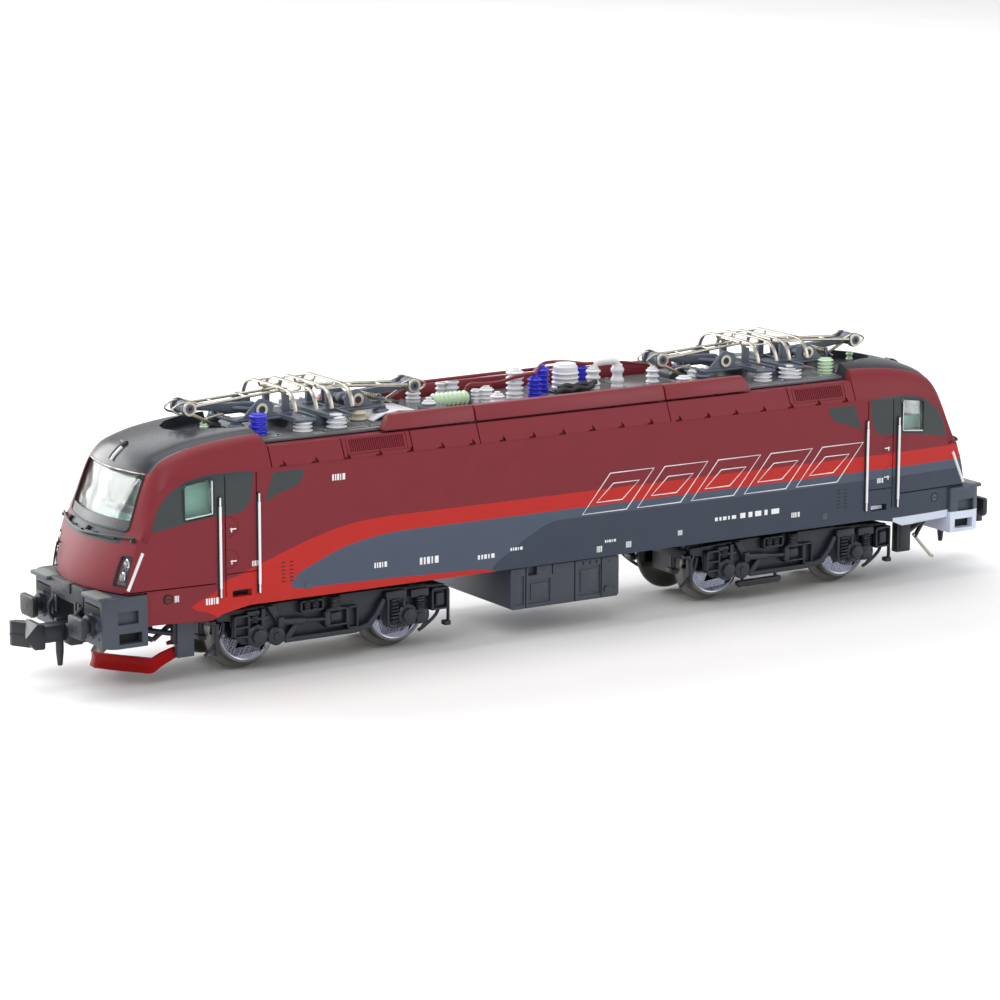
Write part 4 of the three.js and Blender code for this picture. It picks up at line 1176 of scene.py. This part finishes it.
def bogie(number, x):
    """A bogie frame with its end beams, and magnets between the wheels of the far one."""
    piece = Piece(
        f"bogie_{number}_frame_detailed", f"bogie_{number}", [f"bogie_frame_{number}"], at=(x, 0, 0),
    )
    for material, part in bogie_flank():
        piece.add(material, mirrored(part, 0, 1), part)
    for side in (-1, 1):
        piece.add("bogie", block(side * 14.2, side * 14.75, -6.95, 6.95, 5.9, 7.1, 0.12))
        for y in (-4.4, 4.4):
            piece.add("bogie", bar((side * 14.4, y, 4.4), (side * 14.4, y, 6.0), 0.35))
            piece.add("bogie", block(side * 14.0, side * 14.9, y - 0.7, y + 0.7, 3.9, 4.5))
    if x > 0:
        for y in (-7.2, 6.5):
            piece.add("bogie", block(-7.0, -0.7, y, y + 0.7, 1.95, 2.5, 0.12))
            piece.add("black", block(-6.8, -0.9, y + 0.08, y + 0.62, 1.75, 2.0, 0.06))
            for u in (-6.2, -1.4):
                piece.add("bogie", bar((u, y + 0.35, 2.4), (u, y + 0.35, 3.5), 0.2))
    piece.finish(slot="black_plastic")


def gear_outline(pitch_radius, teeth, centre_z):
    """The outline of a spur gear as (x, z)."""
    outline = []
    tip = pitch_radius - 0.15
    for i in range(teeth):
        for lag, radius in ((-0.3, tip - 0.35), (-0.1, tip), (0.1, tip), (0.3, tip - 0.35)):
            a = math.tau * (i + lag) / teeth
            outline.append((radius * math.cos(a), centre_z + radius * math.sin(a)))
    return outline


def wheelset(number, where, x):
    """Two flanged wheels with dished faces, their axle and its gear."""
    piece = Piece(
        f"wheels_{number}_{where}", f"axle_{number}_{where}", [f"wheelset_{number}_{where}"], at=(x, 0, 0),
    )
    centre = (0, 0, AXLE_Z)
    for side in (-1, 1):
        axis = (0, side, 0)
        piece.add("flange", turned(
            [
                (3.7, 0.7), (3.7, 4.1), (3.78, 4.42), (3.92, 4.5), (4.08, 4.4), (4.22, 4.0), (4.4, 3.72),
                (4.55, 3.66), (5.6, 3.56), (5.7, 3.5), (5.7, 3.3),
            ],
            centre, axis, 72,
        ))
        piece.add("steel", turned(
            [
                (5.7, 3.32), (5.74, 3.24), (5.7, 3.12), (5.46, 3.02), (5.34, 2.6), (5.26, 1.9), (5.34, 1.5),
                (5.62, 1.36), (5.72, 1.2), (5.74, 0.6), (6.4, 0.5), (6.5, 0.4), (6.5, 0),
            ],
            centre, axis, 64,
        ))
        for k in range(8):
            a = math.tau * k / 8
            spot = (2.25 * math.cos(a), side * 5.22, AXLE_Z + 2.25 * math.sin(a))
            piece.add("steel", boss(spot, axis, 0.3, 0.16, 0.24, 12))
    piece.add("steel", bar((0, -3.7, AXLE_Z), (0, 3.7, AXLE_Z), 0.65))
    piece.add("brass", plate(gear_outline(2.35, 15, AXLE_Z), "xz", -0.85, 0.85, 0))
    piece.finish(slot="wheel_steel")


for number, side in ENDS:
    bogie(number, side * BOGIE_X)
    for where, along in (("inner", -1), ("outer", 1)):
        wheelset(number, where, side * (BOGIE_X + along * HALF_BASE))

# ---- box under the middle ----
box = Piece("underfloor_box_detailed", "root", ["underfloor_box"])
body = plate(
    [(-8.7, 3.7), (-8.4, 3.4), (5.7, 3.4), (5.95, 3.7), (5.95, 8.15), (-8.7, 8.15)], "xz", -9.0, 9.0, 0.12,
)
joints = ((-6.69, 3.0), (-3.13, 7.0), (-0.11, 3.0), (3.5, 3.0))
cuts = [slab(x - 0.09, x + 0.09, -9.5, -8.82, z0, 9) for x, z0 in joints]
for x0, x1, depth, z0, z1 in (
    (-6.4, -5.2, 8.4, 7.15, 9), (-6.34, -3.41, 8.85, 3.9, 6.62), (0.3, 3.35, 8.85, 4.0, 7.4),
    (-8.3, -6.95, 8.85, 3.9, 7.2),
):
    cuts.append(slab(x0, x1, -9.5, -depth, z0, z1))
box.add("box", boolean(body, both_sides(*cuts)))
for side in (-1, 1):
    # Small near-black blocks on the box sides are painted shade for its slots.
    for x in (0.9, 1.8, 2.7):
        box.add("painted_shade", block(x, x + 0.3, side * 9.02, side * 8.9, 7.55, 7.95, 0.03))
    box.add("box", boss((4.23, side * 8.98, 4.39), (0, side, 0), 0.38, 0.22, 0.34, 16))
    box.add(
        "box", block(-6.0, -3.75, side * 8.8, side * 8.97, 4.3, 6.2, 0.06),
        block(0.7, 2.95, side * 8.8, side * 8.97, 4.4, 7.0, 0.06),
    )
    for x, z in ((-7.7, 7.6), (-4.2, 7.6), (4.7, 7.6), (5.3, 4.4), (-8.2, 4.0)):
        box.add("box", bolt((x, side * 8.98, z), (0, side, 0), 0.16, 0.08))
box.add("box", block(-6.5, 4.0, -4.6, 4.6, 8.1, 9.0))
box.finish(slot="black_plastic")

# ---- buffer beams, buffers, couplers and plough ----
BEAM_X0, BEAM_X1 = 54.4, 59.0


def beam(number, side):
    """A buffer beam: a hollow moulding with slots, buffer plates, hoses and step pads with a painted
    highlight on their tops.
    """
    piece = Piece(f"buffer_beam_{number}_detailed", "root", [f"buffer_beam_{number}"], side < 0)
    back = BEAM_X0 - 0.33
    outline = [
        (back, -9.2), (57.7, -9.2), (58.4, -8.9), (BEAM_X1, -8.1), (BEAM_X1, 8.1), (58.4, 8.9), (57.7, 9.2),
        (back, 9.2),
    ]
    body = plate(outline, "xy", 5.3, 10.85, 0.14)
    mouth = plate([(53, 4), (60, 4), (60, 9.0), (56.0, 9.0), (56.0, 8.0), (53, 8.0)], "xz", -3.9, 3.9, soft=0)
    slots = both_sides(
        slab(55.2, 57.6, 8.6, 10, 7.9, 9.3), slab(54.8, 57.5, 6.8, 10, 5.8, 6.95),
        slab(58.6, 60, 4.3, 7.7, 9.35, 9.75),
    )
    body = boolean(boolean(body, [mouth]), slots)
    if side > 0:
        for low, high, tone in ((5.0, 7.9, "silver_beam"), (7.9, 11.0, "beam")):
            band = slab(50, 62, -OUTSIDE, OUTSIDE, low, high)
            piece.add(tone, boolean(body.copy(), [band], "INTERSECT"))
        body.free()
    else:
        piece.add("beam_dark", body)
    for y in (-1, 1):
        piece.add("beam", block(57.7, 59.5, y * 4.2, y * 8.4, 10.4, 10.8, 0.1))
        # A lighter plate on each step pad's top is a painted highlight where light falls.
        piece.add("pad_highlight", block(57.8, 59.42, y * 4.3, y * 8.3, 10.76, 10.88, 0.05))
        # Near-black plates in the beam's slots and recess are painted shade.
        piece.add("painted_shade", block(58.9, 59.02, y * 4.25, y * 7.9, 8.7, 9.6, 0.03))
        piece.add("painted_shade", block(54.75, 57.55, y * 8.1, y * 8.25, 5.75, 7.0, 0.02))
        piece.add(
            "beam",
            turned(
                [(0, 0), (0, 1.5), (0.25, 1.45), (0.3, 1.2), (0.3, 0)], (BEAM_X1 - 0.02, y * 6.0, 7.5),
                FORWARD, 4,
            ),
        )
        hose = [(58.9, y * 3.3, 8.9), (59.6, y * 3.3, 8.2), (59.6, y * 3.35, 7.0), (59.1, y * 3.3, 6.2)]
        piece.add("black", rod(smooth_path(hose, 3), 0.22, 8))
        piece.add(
            "beam", bolt((58.95, y * 4.6, 6.2), FORWARD, 0.18), bolt((58.95, y * 7.4, 6.2), FORWARD, 0.18),
        )
    piece.add(
        "black", block(56.6, 59.12, -3.95, 3.95, 8.9, 10.95, 0.12),
        block(56.2, 59.3, -0.8, 1.0, 9.9, 11.05, 0.1),
    )
    for y in (-3.3, -2.6, 2.2, 3.0):
        piece.add("black", block(58.9, 59.3, y - 0.25, y + 0.25, 7.3, 9.2, 0.08))
    piece.finish(slot="slate_plastic")


TIP_X = 65.1


def buffers(number, side):
    """Two buffers with rounded rectangular heads."""
    for y, where in ((6.0, "left"), (-6.0, "right")):
        piece = Piece(f"buffer_{number}_{where}_detailed", "root", [f"buffer_{number}_{where}"], side < 0)
        head = [
            (y - 1.7, 6.85), (y - 1.55, 6.5), (y - 1.15, 6.3), (y + 1.15, 6.3), (y + 1.55, 6.5),
            (y + 1.7, 6.85), (y + 1.7, 8.4), (y + 1.5, 8.65), (y - 1.5, 8.65), (y - 1.7, 8.4),
        ]
        piece.add("black", plate(head, "yz", 60.45, 61.15, 0.16))
        piece.add(
            "black",
            turned(
                [(59.1, 0), (59.1, 1.15), (59.75, 1.15), (59.85, 0.85), (60.5, 0.85), (60.5, 0)],
                (0, y, 7.5), FORWARD, 24,
            ),
        )
        piece.add("black", bar((60.3, y, 7.5), (61.2, y, 7.5), 0.25))
        piece.finish(slot="black_plastic")


def coupler(number, side):
    """The pocket that swings and the hook that lifts in it."""
    pocket = Piece(
        f"coupler_pocket_{number}_shaft", f"coupler_swing_{number}", [f"coupler_pocket_{number}"], side < 0,
    )
    pocket.add("black", boss((54.6, 0, 4.6), UP, 1.1, 1.6, sides=24))
    pocket.add("black", block(54.8, 57.1, -1.0, 1.0, 4.6, 6.2), block(56.3, 57.1, -1.8, 1.8, 4.6, 6.9))
    for y in (-1, 1):
        pocket.add(
            "black", block(56.7, 59.9, y * 1.1, y * 1.8, 4.6, 6.9),
            bar((58.2, y * 1.75, 5.6), (58.2, y * 1.95, 5.6), 0.4),
        )
    pocket.finish(slot="black_plastic")

    hook = Piece(f"coupler_hook_{number}", f"coupler_hook_{number}", [f"coupler_head_{number}"], side < 0)
    hook.add("black", block(57.5, 63.1, -0.75, 0.75, 4.8, 6.4), block(58.4, 63.0, -0.95, 0.95, 5.0, 6.7))
    hook.add(
        "black", bar((60.1, 0, 4.9), (60.1, 0, 3.6), 0.45),
        bar((60.1, 0, 3.7), (60.1, 0, 2.0), 0.45, end=0.28),
    )
    hook.add("black", block(57.7, 59.2, -0.9, 0.9, 4.2, 5.0, 0.1))
    wedge = [(62.8, 4.7), (62.8, 7.1), (62.95, 7.25), (63.7, 7.4), (TIP_X, 6.0), (64.0, 4.6), (63.0, 4.55)]
    near = plate(wedge, "xz", -0.8, 2.3, 0.06)
    for vert in near.verts:
        reach = max(0.0, vert.co.x - 63.6) / (TIP_X - 63.6)
        vert.co.x -= reach * 0.42 * (2.3 - vert.co.y)
    hook.add("black", near)
    prong = [(62.8, -0.9), (62.8, 0.2), (63.7, 0.2), (TIP_X - 0.2, -1.7), (TIP_X - 0.2, -2.25), (64.2, -2.3)]
    hook.add("black", plate(prong, "xy", 4.4, 7.1, 0.07))
    hook.add(
        "black",
        plate([(63.6, -0.5), (63.9, 0.0), (TIP_X - 0.1, -1.7), (TIP_X - 0.1, -2.1)], "xy", 5.55, 5.8, 0.04),
    )
    hook.finish(slot="black_plastic")


for number, side in ENDS:
    beam(number, side)
    buffers(number, side)
    coupler(number, side)

plough = Piece("plough_blade", "root", ["plough"], True)
# Plan line of the blade's foot as (x, y, rise above the middle), and its section as (out, z).
BLADE_Z = 1.32
line = [
    (48.3, -6.62, 2.0), (49.6, -6.5, 1.5), (51.2, -6.3, 0.7), (52.0, -6.15, 0.1), (52.4, -5.95, 0),
    (54.6, -3.2, 0), (56.3, -0.65, 0),
]
line += [(x, -y, rise) for x, y, rise in reversed(line)]
section = [
    (-0.55, 2.98), (-0.12, 3.0), (-0.25, 2.6), (-0.2, 2.1), (-0.05, 1.6), (0.0, BLADE_Z), (-0.5, 1.3),
    (-0.7, 2.2),
]
rings = []
for i, (x, y, rise) in enumerate(line):
    before, after = Vector(line[max(i - 1, 0)][:2]), Vector(line[min(i + 1, len(line) - 1)][:2])
    along = (after - before).normalized()
    rings.append([
        (
            x + along.y * a, y - along.x * a, BLADE_Z + rise + (z - BLADE_Z) * (1 - 0.2 * rise),
        ) for a, z in section
    ])
plough.add("red", skinned(rings))
for y in (-1, 1):
    tab = [(48.1, y * 6.6), (48.1, y * 5.2), (49.0, y * 5.0), (50.4, y * 5.9), (50.6, y * 6.5)]
    plough.add("red", plate(tab, "xy", 4.35, 4.6, 0.04))
    plough.add("red", block(48.1, 49.6, y * 6.3, y * 6.6, 3.2, 4.6, 0.06))
    plough.add("beam_dark", block(47.6, 49.65, y * 6.25, y * 7.2, 2.9, 9.4, 0.14))
    plough.add(
        "black", block(49.6, 50.1, y * 6.3, y * 7.0, 4.4, 8.2, 0.1),
        bar((50.0, y * 6.6, 5.6), (53.2, y * 6.2, 6.3), 0.3),
    )
    plough.add(
        "black", bar((50.0, y * 6.2, 6.5), (52.0, y * 6.0, 5.0), 0.28),
        bar((52.0, y * 6.0, 5.0), (54.6, y * 5.8, 6.2), 0.28),
    )
plough.finish(slot="plough_red")

bracket = Piece("cab_2_bracket", "root")
for y in (-1, 1):
    bracket.add(
        "black", block(47.5, 49.6, y * 6.2, y * 7.3, 3.3, 8.2, 0.14),
        block(47.9, 49.2, y * 7.25, y * 7.4, 3.8, 6.8, 0.06),
    )
    bracket.add(
        "black", bar((49.4, y * 6.6, 5.4), (52.6, y * 6.2, 6.9), 0.32),
        bar((51.2, y * 6.0, 4.6), (52.6, y * 6.2, 6.9), 0.28),
    )
bracket.add("silver", rod([(51.0, -6.0, 5.0), (51.6, -6.0, 4.3), (53.7, -6.0, 2.1), (54.1, -6.0, 1.9)], 0.2))
bracket.finish(slot="black_plastic")

# ---- cab glazing, interior and lamps ----
def on_nose(path, lift):
    """Points (y, z) laid on the front of the body, `lift` clear of it."""
    return [(nose_x(y, z) + lift, y, z) for y, z in path]


def dense(path, steps=5):
    """Extra points along straight pieces of a closed outline."""
    result = []
    for (a0, b0), (a1, b1) in zip(path, path[1:] + path[:1]):
        result += [(a0 + (a1 - a0) * k / steps, b0 + (b1 - b0) * k / steps) for k in range(steps)]
    return result


def nose_patch(y0, y1, z0, z1, lift, thick, columns=16, rows=4):
    """A thin plate that follows the front of the body."""
    bm = bmesh.new()
    layers = []
    for depth in (lift, lift - thick):
        layers.append([[
            bm.verts.new((nose_x(y, z) + depth, y, z))
            for y in (y0 + (y1 - y0) * i / columns for i in range(columns + 1))
        ] for z in (z0 + (z1 - z0) * j / rows for j in range(rows + 1))])
    front, back = layers
    for j in range(rows):
        for i in range(columns):
            for layer in layers:
                bm.faces.new((layer[j][i], layer[j][i + 1], layer[j + 1][i + 1], layer[j + 1][i]))
    rim = [(0, i) for i in range(columns)] + [(j, columns) for j in range(rows)]
    rim += [(rows, i) for i in range(columns, 0, -1)] + [(j, 0) for j in range(rows, 0, -1)]
    for (j0, i0), (j1, i1) in zip(rim, rim[1:] + rim[:1]):
        bm.faces.new((front[j0][i0], front[j1][i1], back[j1][i1], back[j0][i0]))
    bmesh.ops.recalc_face_normals(bm, faces=bm.faces)
    return bm


def cab(number, side):
    """The glazing, window trim, interior and headlights of one cab."""
    flip = side < 0
    glazing = Piece(f"cab_glass_{number}", "root", [f"cab_glazing_{number}"], flip)
    glazing.add("clear", boolean(wall_layer(0.16, 0.75), window_tools(0.04), "INTERSECT"))
    glazing.finish(slot="clear")

    trim = Piece(f"cab_window_trim_{number}", "root", (), flip)
    trim.add("frame", rod(on_nose(dense(screen_outline(0.05)), 0.0), 0.13, 6, closed=True))
    trim.add("silver", rod(on_nose([(y / 2, 23.17) for y in range(-13, 14)], 0.04), 0.07, 6))
    trim.add("film", nose_patch(-6.75, 6.75, 17.3, 18.4, 0.03, 0.06))
    for mirror in (-1, 1):
        edge = dense(side_window_outline(0.02), 2)
        trim.add("frame", rod([(x, mirror * (side_y(x) - 0.02), z) for x, z in edge], 0.09, 6, closed=True))
        # A white rod along the lower and rear edges of each side window is a painted highlight where light
        # catches the opening's edges.
        inner = [(49.5, 18.42), (46.36, 18.74), (46.36, 22.3)]
        trim.add("white", rod([(x, mirror * (side_y(x) - 0.06), z) for x, z in inner], 0.09, 6))
        wiper = [
            (mirror * 2.9 + 0.4 + share * 2.6, 16.58 + 0.03 * abs(share))
            for share in (-1, -0.5, 0, 0.5, 1)
        ]
        trim.add(
            "frame", rod(on_nose(wiper, 0.3), 0.16, 8),
            rod(on_nose([(wiper[0][0], 16.6), (wiper[0][0] + 0.1, 17.1)], 0.2), 0.2, 8),
        )
    rail = [(y / 2, 16.5 + abs(y) * 0.02) for y in range(-17, 18)]
    trim.add("frame", rod(on_nose(rail, 0.42), 0.13, 10))
    for y in (-8.3, -2.5, 2.5, 8.3):
        near = nose_x(y, 16.6)
        trim.add("frame", bar((near - 0.3, y, 16.55), (near + 0.5, y, 16.6), 0.2, 10))
    trim.finish(slot="black_plastic")

    inside = Piece(f"cab_interior_{number}_detailed", "root", [f"cab_interior_{number}"], flip)
    inside.add("mint", block(44.6, 52.8, -7.0, 7.0, 14.9, 15.5), block(44.3, 44.7, -7.4, 7.4, 12.2, 22.6))
    room = slab(44.5, PAST_NOSE, -OUTSIDE, OUTSIDE, 15.2, 23.9)
    lining = boolean(wall_layer(0.98, 1.2), [room], "INTERSECT")
    inside.add("lining", boolean(lining, window_tools(-0.1)))
    desk = [(50.2, 15.4), (52.2, 15.4), (53.6, 16.6), (53.2, 17.3), (51.6, 17.6), (50.3, 17.3), (50.0, 16.9)]
    inside.add("mint", plate(desk, "xz", -6.3, 6.3, 0.15))
    inside.add(
        "slate", plate([(50.6, 17.3), (51.6, 17.55), (51.4, 18.3), (51.1, 18.3)], "xz", -3.0, 3.0, 0.06),
    )
    for y in (-3.6, 3.6):
        inside.add(
            "mint", block(47.2, 49.4, y - 1.2, y + 1.2, 16.4, 17.1, 0.3),
            block(46.4, 47.2, y - 1.25, y + 1.25, 16.6, 20.6, 0.3),
        )
        inside.add(
            "mint", block(46.4, 47.0, y - 0.8, y + 0.8, 20.6, 21.5, 0.22),
            bar((48.2, y, 15.4), (48.2, y, 16.5), 0.4),
        )
    top = 23.0 if side < 0 else 20.2
    for y in (-1, 1):
        inside.add("mint", block(45.2, 50.3, y * 7.4, y * 7.6, 15.4, top, 0.1))
    inside.finish(slot="mint_plastic")

    lamps = Piece(f"headlights_{number}", "root", [f"light_guide_{number}"], flip)
    for mirror in (-1, 1):
        front = [(nose_x(a, z) - 0.05, mirror * a, z) for a, z in dense(LAMP_OUTLINE, 2)]
        lamps.add("frame", rod(front, 0.12, 6, closed=True))
        outline = [(mirror * a, z) for a, z in LAMP_OUTLINE]
        for material, wall in (("lamp_grey", envelope(0.42, BELOW_SKIRT)), ("lamp", wall_layer(0.06, 0.2))):
            opening = plate(outline, "yz", 54.0, PAST_NOSE, soft=0)
            lamps.add(material, boolean(wall, [opening], "INTERSECT"))
        for across, z in ((7.75, 12.7), (7.98, 14.1)):
            y = mirror * across
            depth = nose_x(y, z)
            lamps.add("chrome", turned(
                [
                    (0, 0), (0, 0.6), (0.2, 0.58), (0.24, 0.5), (0.1, 0.36), (0.06, 0.0),
                ], (depth - 0.42, y, z), FORWARD, 24,
            ))
            lamps.add("lamp", turned(
                [(0, 0), (0, 0.36), (0.1, 0.32), (0.18, 0.2), (0.2, 0)], (depth - 0.4, y, z), FORWARD, 24,
            ))
        corner = [
            (56.2 - 0.45 * (z - 11.4), mirror * (8.84 + 0.01 * (z - 11.4)), z)
            for z in (11.4, 12.4, 13.4, 14.4, 15.3)
        ]
        lamps.add("white", rod(corner, 0.18, 8))
        rail = [(nose_x(6.4, z) + 0.4, mirror * 6.4, z) for z in (11.5, 12.4, 13.4, 14.0)]
        if mirror * side > 0:
            lamps.add(
                "frame",
                rod(
                    [(rail[0][0] - 0.4, rail[0][1], 11.5)] + rail + [
                        (rail[-1][0] - 0.4, rail[-1][1], 14.0),
                    ],
                    0.11, 8,
                ),
            )
    lamps.add("lamp", block(52.2, 53.6, -7.3, 7.3, 12.9, 13.9))
    slot = [(nose_x(0.0, z) + 0.03, 0.0, z) for z in (23.85, 24.3, 24.7, 25.1, 25.4)]
    lamps.add("frame", rod(slot, 0.34, 10), rod([slot[-1], (slot[-1][0], 1.1 * side, slot[-1][2])], 0.26, 10))
    lamps.add("white", rod([(x + 0.1, y - 0.3 * side, z - 0.02) for x, y, z in slot[:-1]], 0.2, 10))
    lamps.finish(slot="clear")


for number, side in ENDS:
    cab(number, side)

# ---- handrails, door handles, fittings and marks on the body side ----
fittings = Piece("handrails_and_handles")
for sx in (-1, 1):
    for sy in (-1, 1):
        for x in (45.6, 40.9):
            out = sy * (HALF_WIDTH + 0.28)
            for z0, z1, radius, sides in (
                (10.5, 19.5, 0.15, 12), (9.55, 10.5, 0.1, 10), (19.5, 20.45, 0.1, 10),
            ):
                fittings.add("rail_white", bar((sx * x, out, z0), (sx * x, out, z1), radius, sides))
            # A near-black strip on the body behind each handrail is the rail's painted shadow.
            fittings.add("painted_shade", block(sx * x - 0.28, sx * x + 0.28, sy * 9.415, sy * 9.37, 9.7, 20.3, 0.01))
            for z in (9.6, 10.45, 19.55, 20.4):
                fittings.add("frame", bar((sx * x, sy * 9.3, z), (sx * x, out, z), 0.13, 8))
        for z in (16.7, 13.2):
            fittings.add("print", block(sx * 44.35, sx * 43.6, sy * 9.52, sy * 9.4, z + 0.08, z + 0.22, 0.03))
            fittings.add("print", block(sx * 44.25, sx * 44.12, sy * 9.52, sy * 9.4, z - 0.2, z + 0.3, 0.03))
        x, y, z = sx * 51.6, side_y(51.6) - 0.35, 10.0
        # The near-black ring round the oval fitting and the line across its face are painted shade in the gap
        # and in the groove.
        fittings.add("painted_shade", boss((x, sy * y, z), (0, sy, 0), 0.62, 0.33, sides=24))
        fittings.add(
            "dark_red" if sx < 0 else "slate", boss((x, sy * y, z), (0, sy, 0), 0.48, 0.42, 0.42, 24),
        )
        fittings.add(
            "painted_shade", block(x - 0.34, x + 0.34, sy * (y + 0.3), sy * (y + 0.44), z - 0.06, z + 0.06, 0.03),
        )
        fittings.add("slate", boss((sx * 34.9, sy * (HALF_WIDTH - 0.02), 9.55), (0, sy, 0), 0.42, 0.08, 0.4))
        # Rows of near-black dots are painted shade in the vent slots.
        for column in (37.9, 36.9):
            for k in range(6):
                z = 10.3 + 0.42 * k
                fittings.add(
                    "painted_shade",
                    block(sx * column - 0.22, sx * column + 0.22, sy * 9.36, sy * 9.415, z, z + 0.12, 0.01),
                )
fittings.finish(slot="wheel_steel")

# Outlined leaning bars as (distance from the bar's start, z), and small printed marks.
BAR_START, BAR_WIDTH, BAR_GAP = 0.6, 6.0, 1.5
BAR_OUTLINES = (
    [(0, 13.5), (6.0, 13.5), (9.76, 17.9), (3.76, 17.9)],
    [(1.9, 14.7), (5.4, 14.7), (7.7, 16.7), (4.2, 16.7)],
)
# Groups of printed strokes as (x, z, width, height), and the strokes as shares of a group's width.
PRINTS = (
    (19.0, 10.7, 3.0, 0.42), (22.6, 10.65, 5.6, 0.62), (-20.8, 10.2, 2.4, 0.8), (-13.3, 9.9, 2.2, 0.5),
    (2.6, 8.9, 0.7, 0.7), (6.6, 9.0, 0.7, 0.7), (3.7, 9.9, 1.5, 0.3), (-9.0, 10.4, 1.6, 0.35),
    (-26.6, 10.5, 1.6, 0.6), (-50.9, 9.6, 0.5, 0.7), (-47.3, 8.9, 1.5, 0.7), (-41.7, 12.5, 0.9, 0.6),
    (13.8, 9.6, 0.6, 0.6), (30.0, 9.9, 1.2, 0.6), (42.6, 12.7, 0.9, 0.6), (-31.8, 20.8, 1.6, 0.7),
)
STROKES = ((0.0, 0.13), (0.21, 0.31), (0.38, 0.54), (0.62, 0.7), (0.8, 1.0))
marks = Piece("printed_marks")
for sy in (-1, 1):
    flip = -sy
    for k in range(5):
        x0 = BAR_START + k * (BAR_WIDTH + BAR_GAP)
        for outline in BAR_OUTLINES:
            path = [(flip * (x0 + along), sy * HALF_WIDTH, z) for along, z in outline]
            marks.add("print", rod(path, 0.075, 6, closed=True))
    for x, z, w, h in PRINTS:
        reach = max(side_y(x), side_y(x + w))
        marks.add("print", *[
            block(
                flip * (x + w * a), flip * (x + w * b), sy * (reach - 0.3), sy * (reach + 0.02), z, z + h,
                0.01,
            )
            for a, b in STROKES
        ])
marks.finish(slot="insulator_white")

# Carried-over CAD nodes take these finishes.
CARRIED = {
    "body_shell": "maroon",
    "roof_deck": "roof", "chassis": "zinc", "motor_case": "steel", "motor_shaft": "brass",
    "circuit_board": "green", "underfloor_box": "black", "roof_busbar": "busbar", "circuit_breaker": "white",
    "cab_glazing": "clear", "light_guide": "lamp", "cab_interior": "mint", "buffer_beam": "beam",
    "buffer": "black", "coupler_pocket": "black", "coupler_head": "black", "cardan_shaft": "black",
    "bogie_frame": "bogie", "gear_tower": "black", "worm": "brass", "idler_gear": "brass",
    "wheelset": "steel", "plough": "red", "pantograph": "panto",
}
for name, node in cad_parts.items():
    key = max((k for k in CARRIED if name.startswith(k)), key=len)
    finish = "silver" if name.endswith(("upper_arm", "_head")) and key == "pantograph" else CARRIED[key]
    node.data.materials.clear()
    node.data.materials.append(MATERIALS[finish])

# ---- camera, floor and light ----
CAMERA_AT = Vector((-222.39, -346.94, 98.47)) * MM
CAMERA_YAW = math.radians(-32.131)
CAMERA_PITCH = math.radians(11.637)
CAMERA_ROLL = math.radians(0.131)

lens = bpy.data.cameras.new("camera")
lens.lens = 131.63
lens.sensor_width = 36
lens.clip_start = 0.01
lens.clip_end = 20
camera = placed("camera", lens)
camera.matrix_world = (
    Matrix.Translation(CAMERA_AT) @ Matrix.Rotation(CAMERA_YAW, 4, "Z")
    @ Matrix.Rotation(math.pi / 2 - CAMERA_PITCH, 4, "X") @ Matrix.Rotation(CAMERA_ROLL, 4, "Z")
)
bpy.context.scene.camera = camera

floor_mesh = bpy.data.meshes.new("floor")
floor_bm = bmesh.new()
bmesh.ops.create_grid(floor_bm, x_segments=8, y_segments=8, size=6)
floor_bm.to_mesh(floor_mesh)
floor_bm.free()
paper = Shader("studio_floor")
clouds = paper.range(paper.noise(0.02), 0, 1)
floor_mesh.materials.append(paper.painted(paper.mix(clouds, (0.86, 0.86, 0.86, 1), (0.9, 0.9, 0.9, 1)), 0.7))
floor = placed("floor", floor_mesh)
floor.location.z = -0.2 * MM


def softbox(name, place, aim, size, watts):
    """A rectangular light, facing the point it is aimed at."""
    data = bpy.data.lights.new(name, "AREA")
    data.shape = "RECTANGLE"
    data.size, data.size_y = size
    data.energy = watts
    light = placed(name, data)
    light.location = place
    light.rotation_euler = (Vector(aim) - Vector(place)).to_track_quat("-Z", "Y").to_euler()


softbox("key", (-0.5, -0.7, 0.75), (0, 0, 0.015), (0.6, 0.5), 3.6)
softbox("fill", (0.7, -0.6, 0.4), (0, 0, 0.015), (0.6, 0.5), 1.6)
softbox("top", (0.0, 0.15, 0.9), (0, 0, 0.02), (0.9, 0.6), 4.0)
softbox("back", (-0.45, 0.85, 0.3), (-0.03, 0, 0.02), (1.0, 0.5), 8.0)
softbox("sheen", (-0.05, 0.9, 0.72), (-0.03, 0, 0.02), (1.4, 0.5), 5.0)
world = bpy.data.worlds.new("studio")
world.use_nodes = True
world.node_tree.nodes["Background"].inputs["Color"].default_value = (1, 1, 1, 1)
world.node_tree.nodes["Background"].inputs["Strength"].default_value = 0.55
bpy.context.scene.world = world
bpy.context.scene.view_settings.view_transform = "Standard"
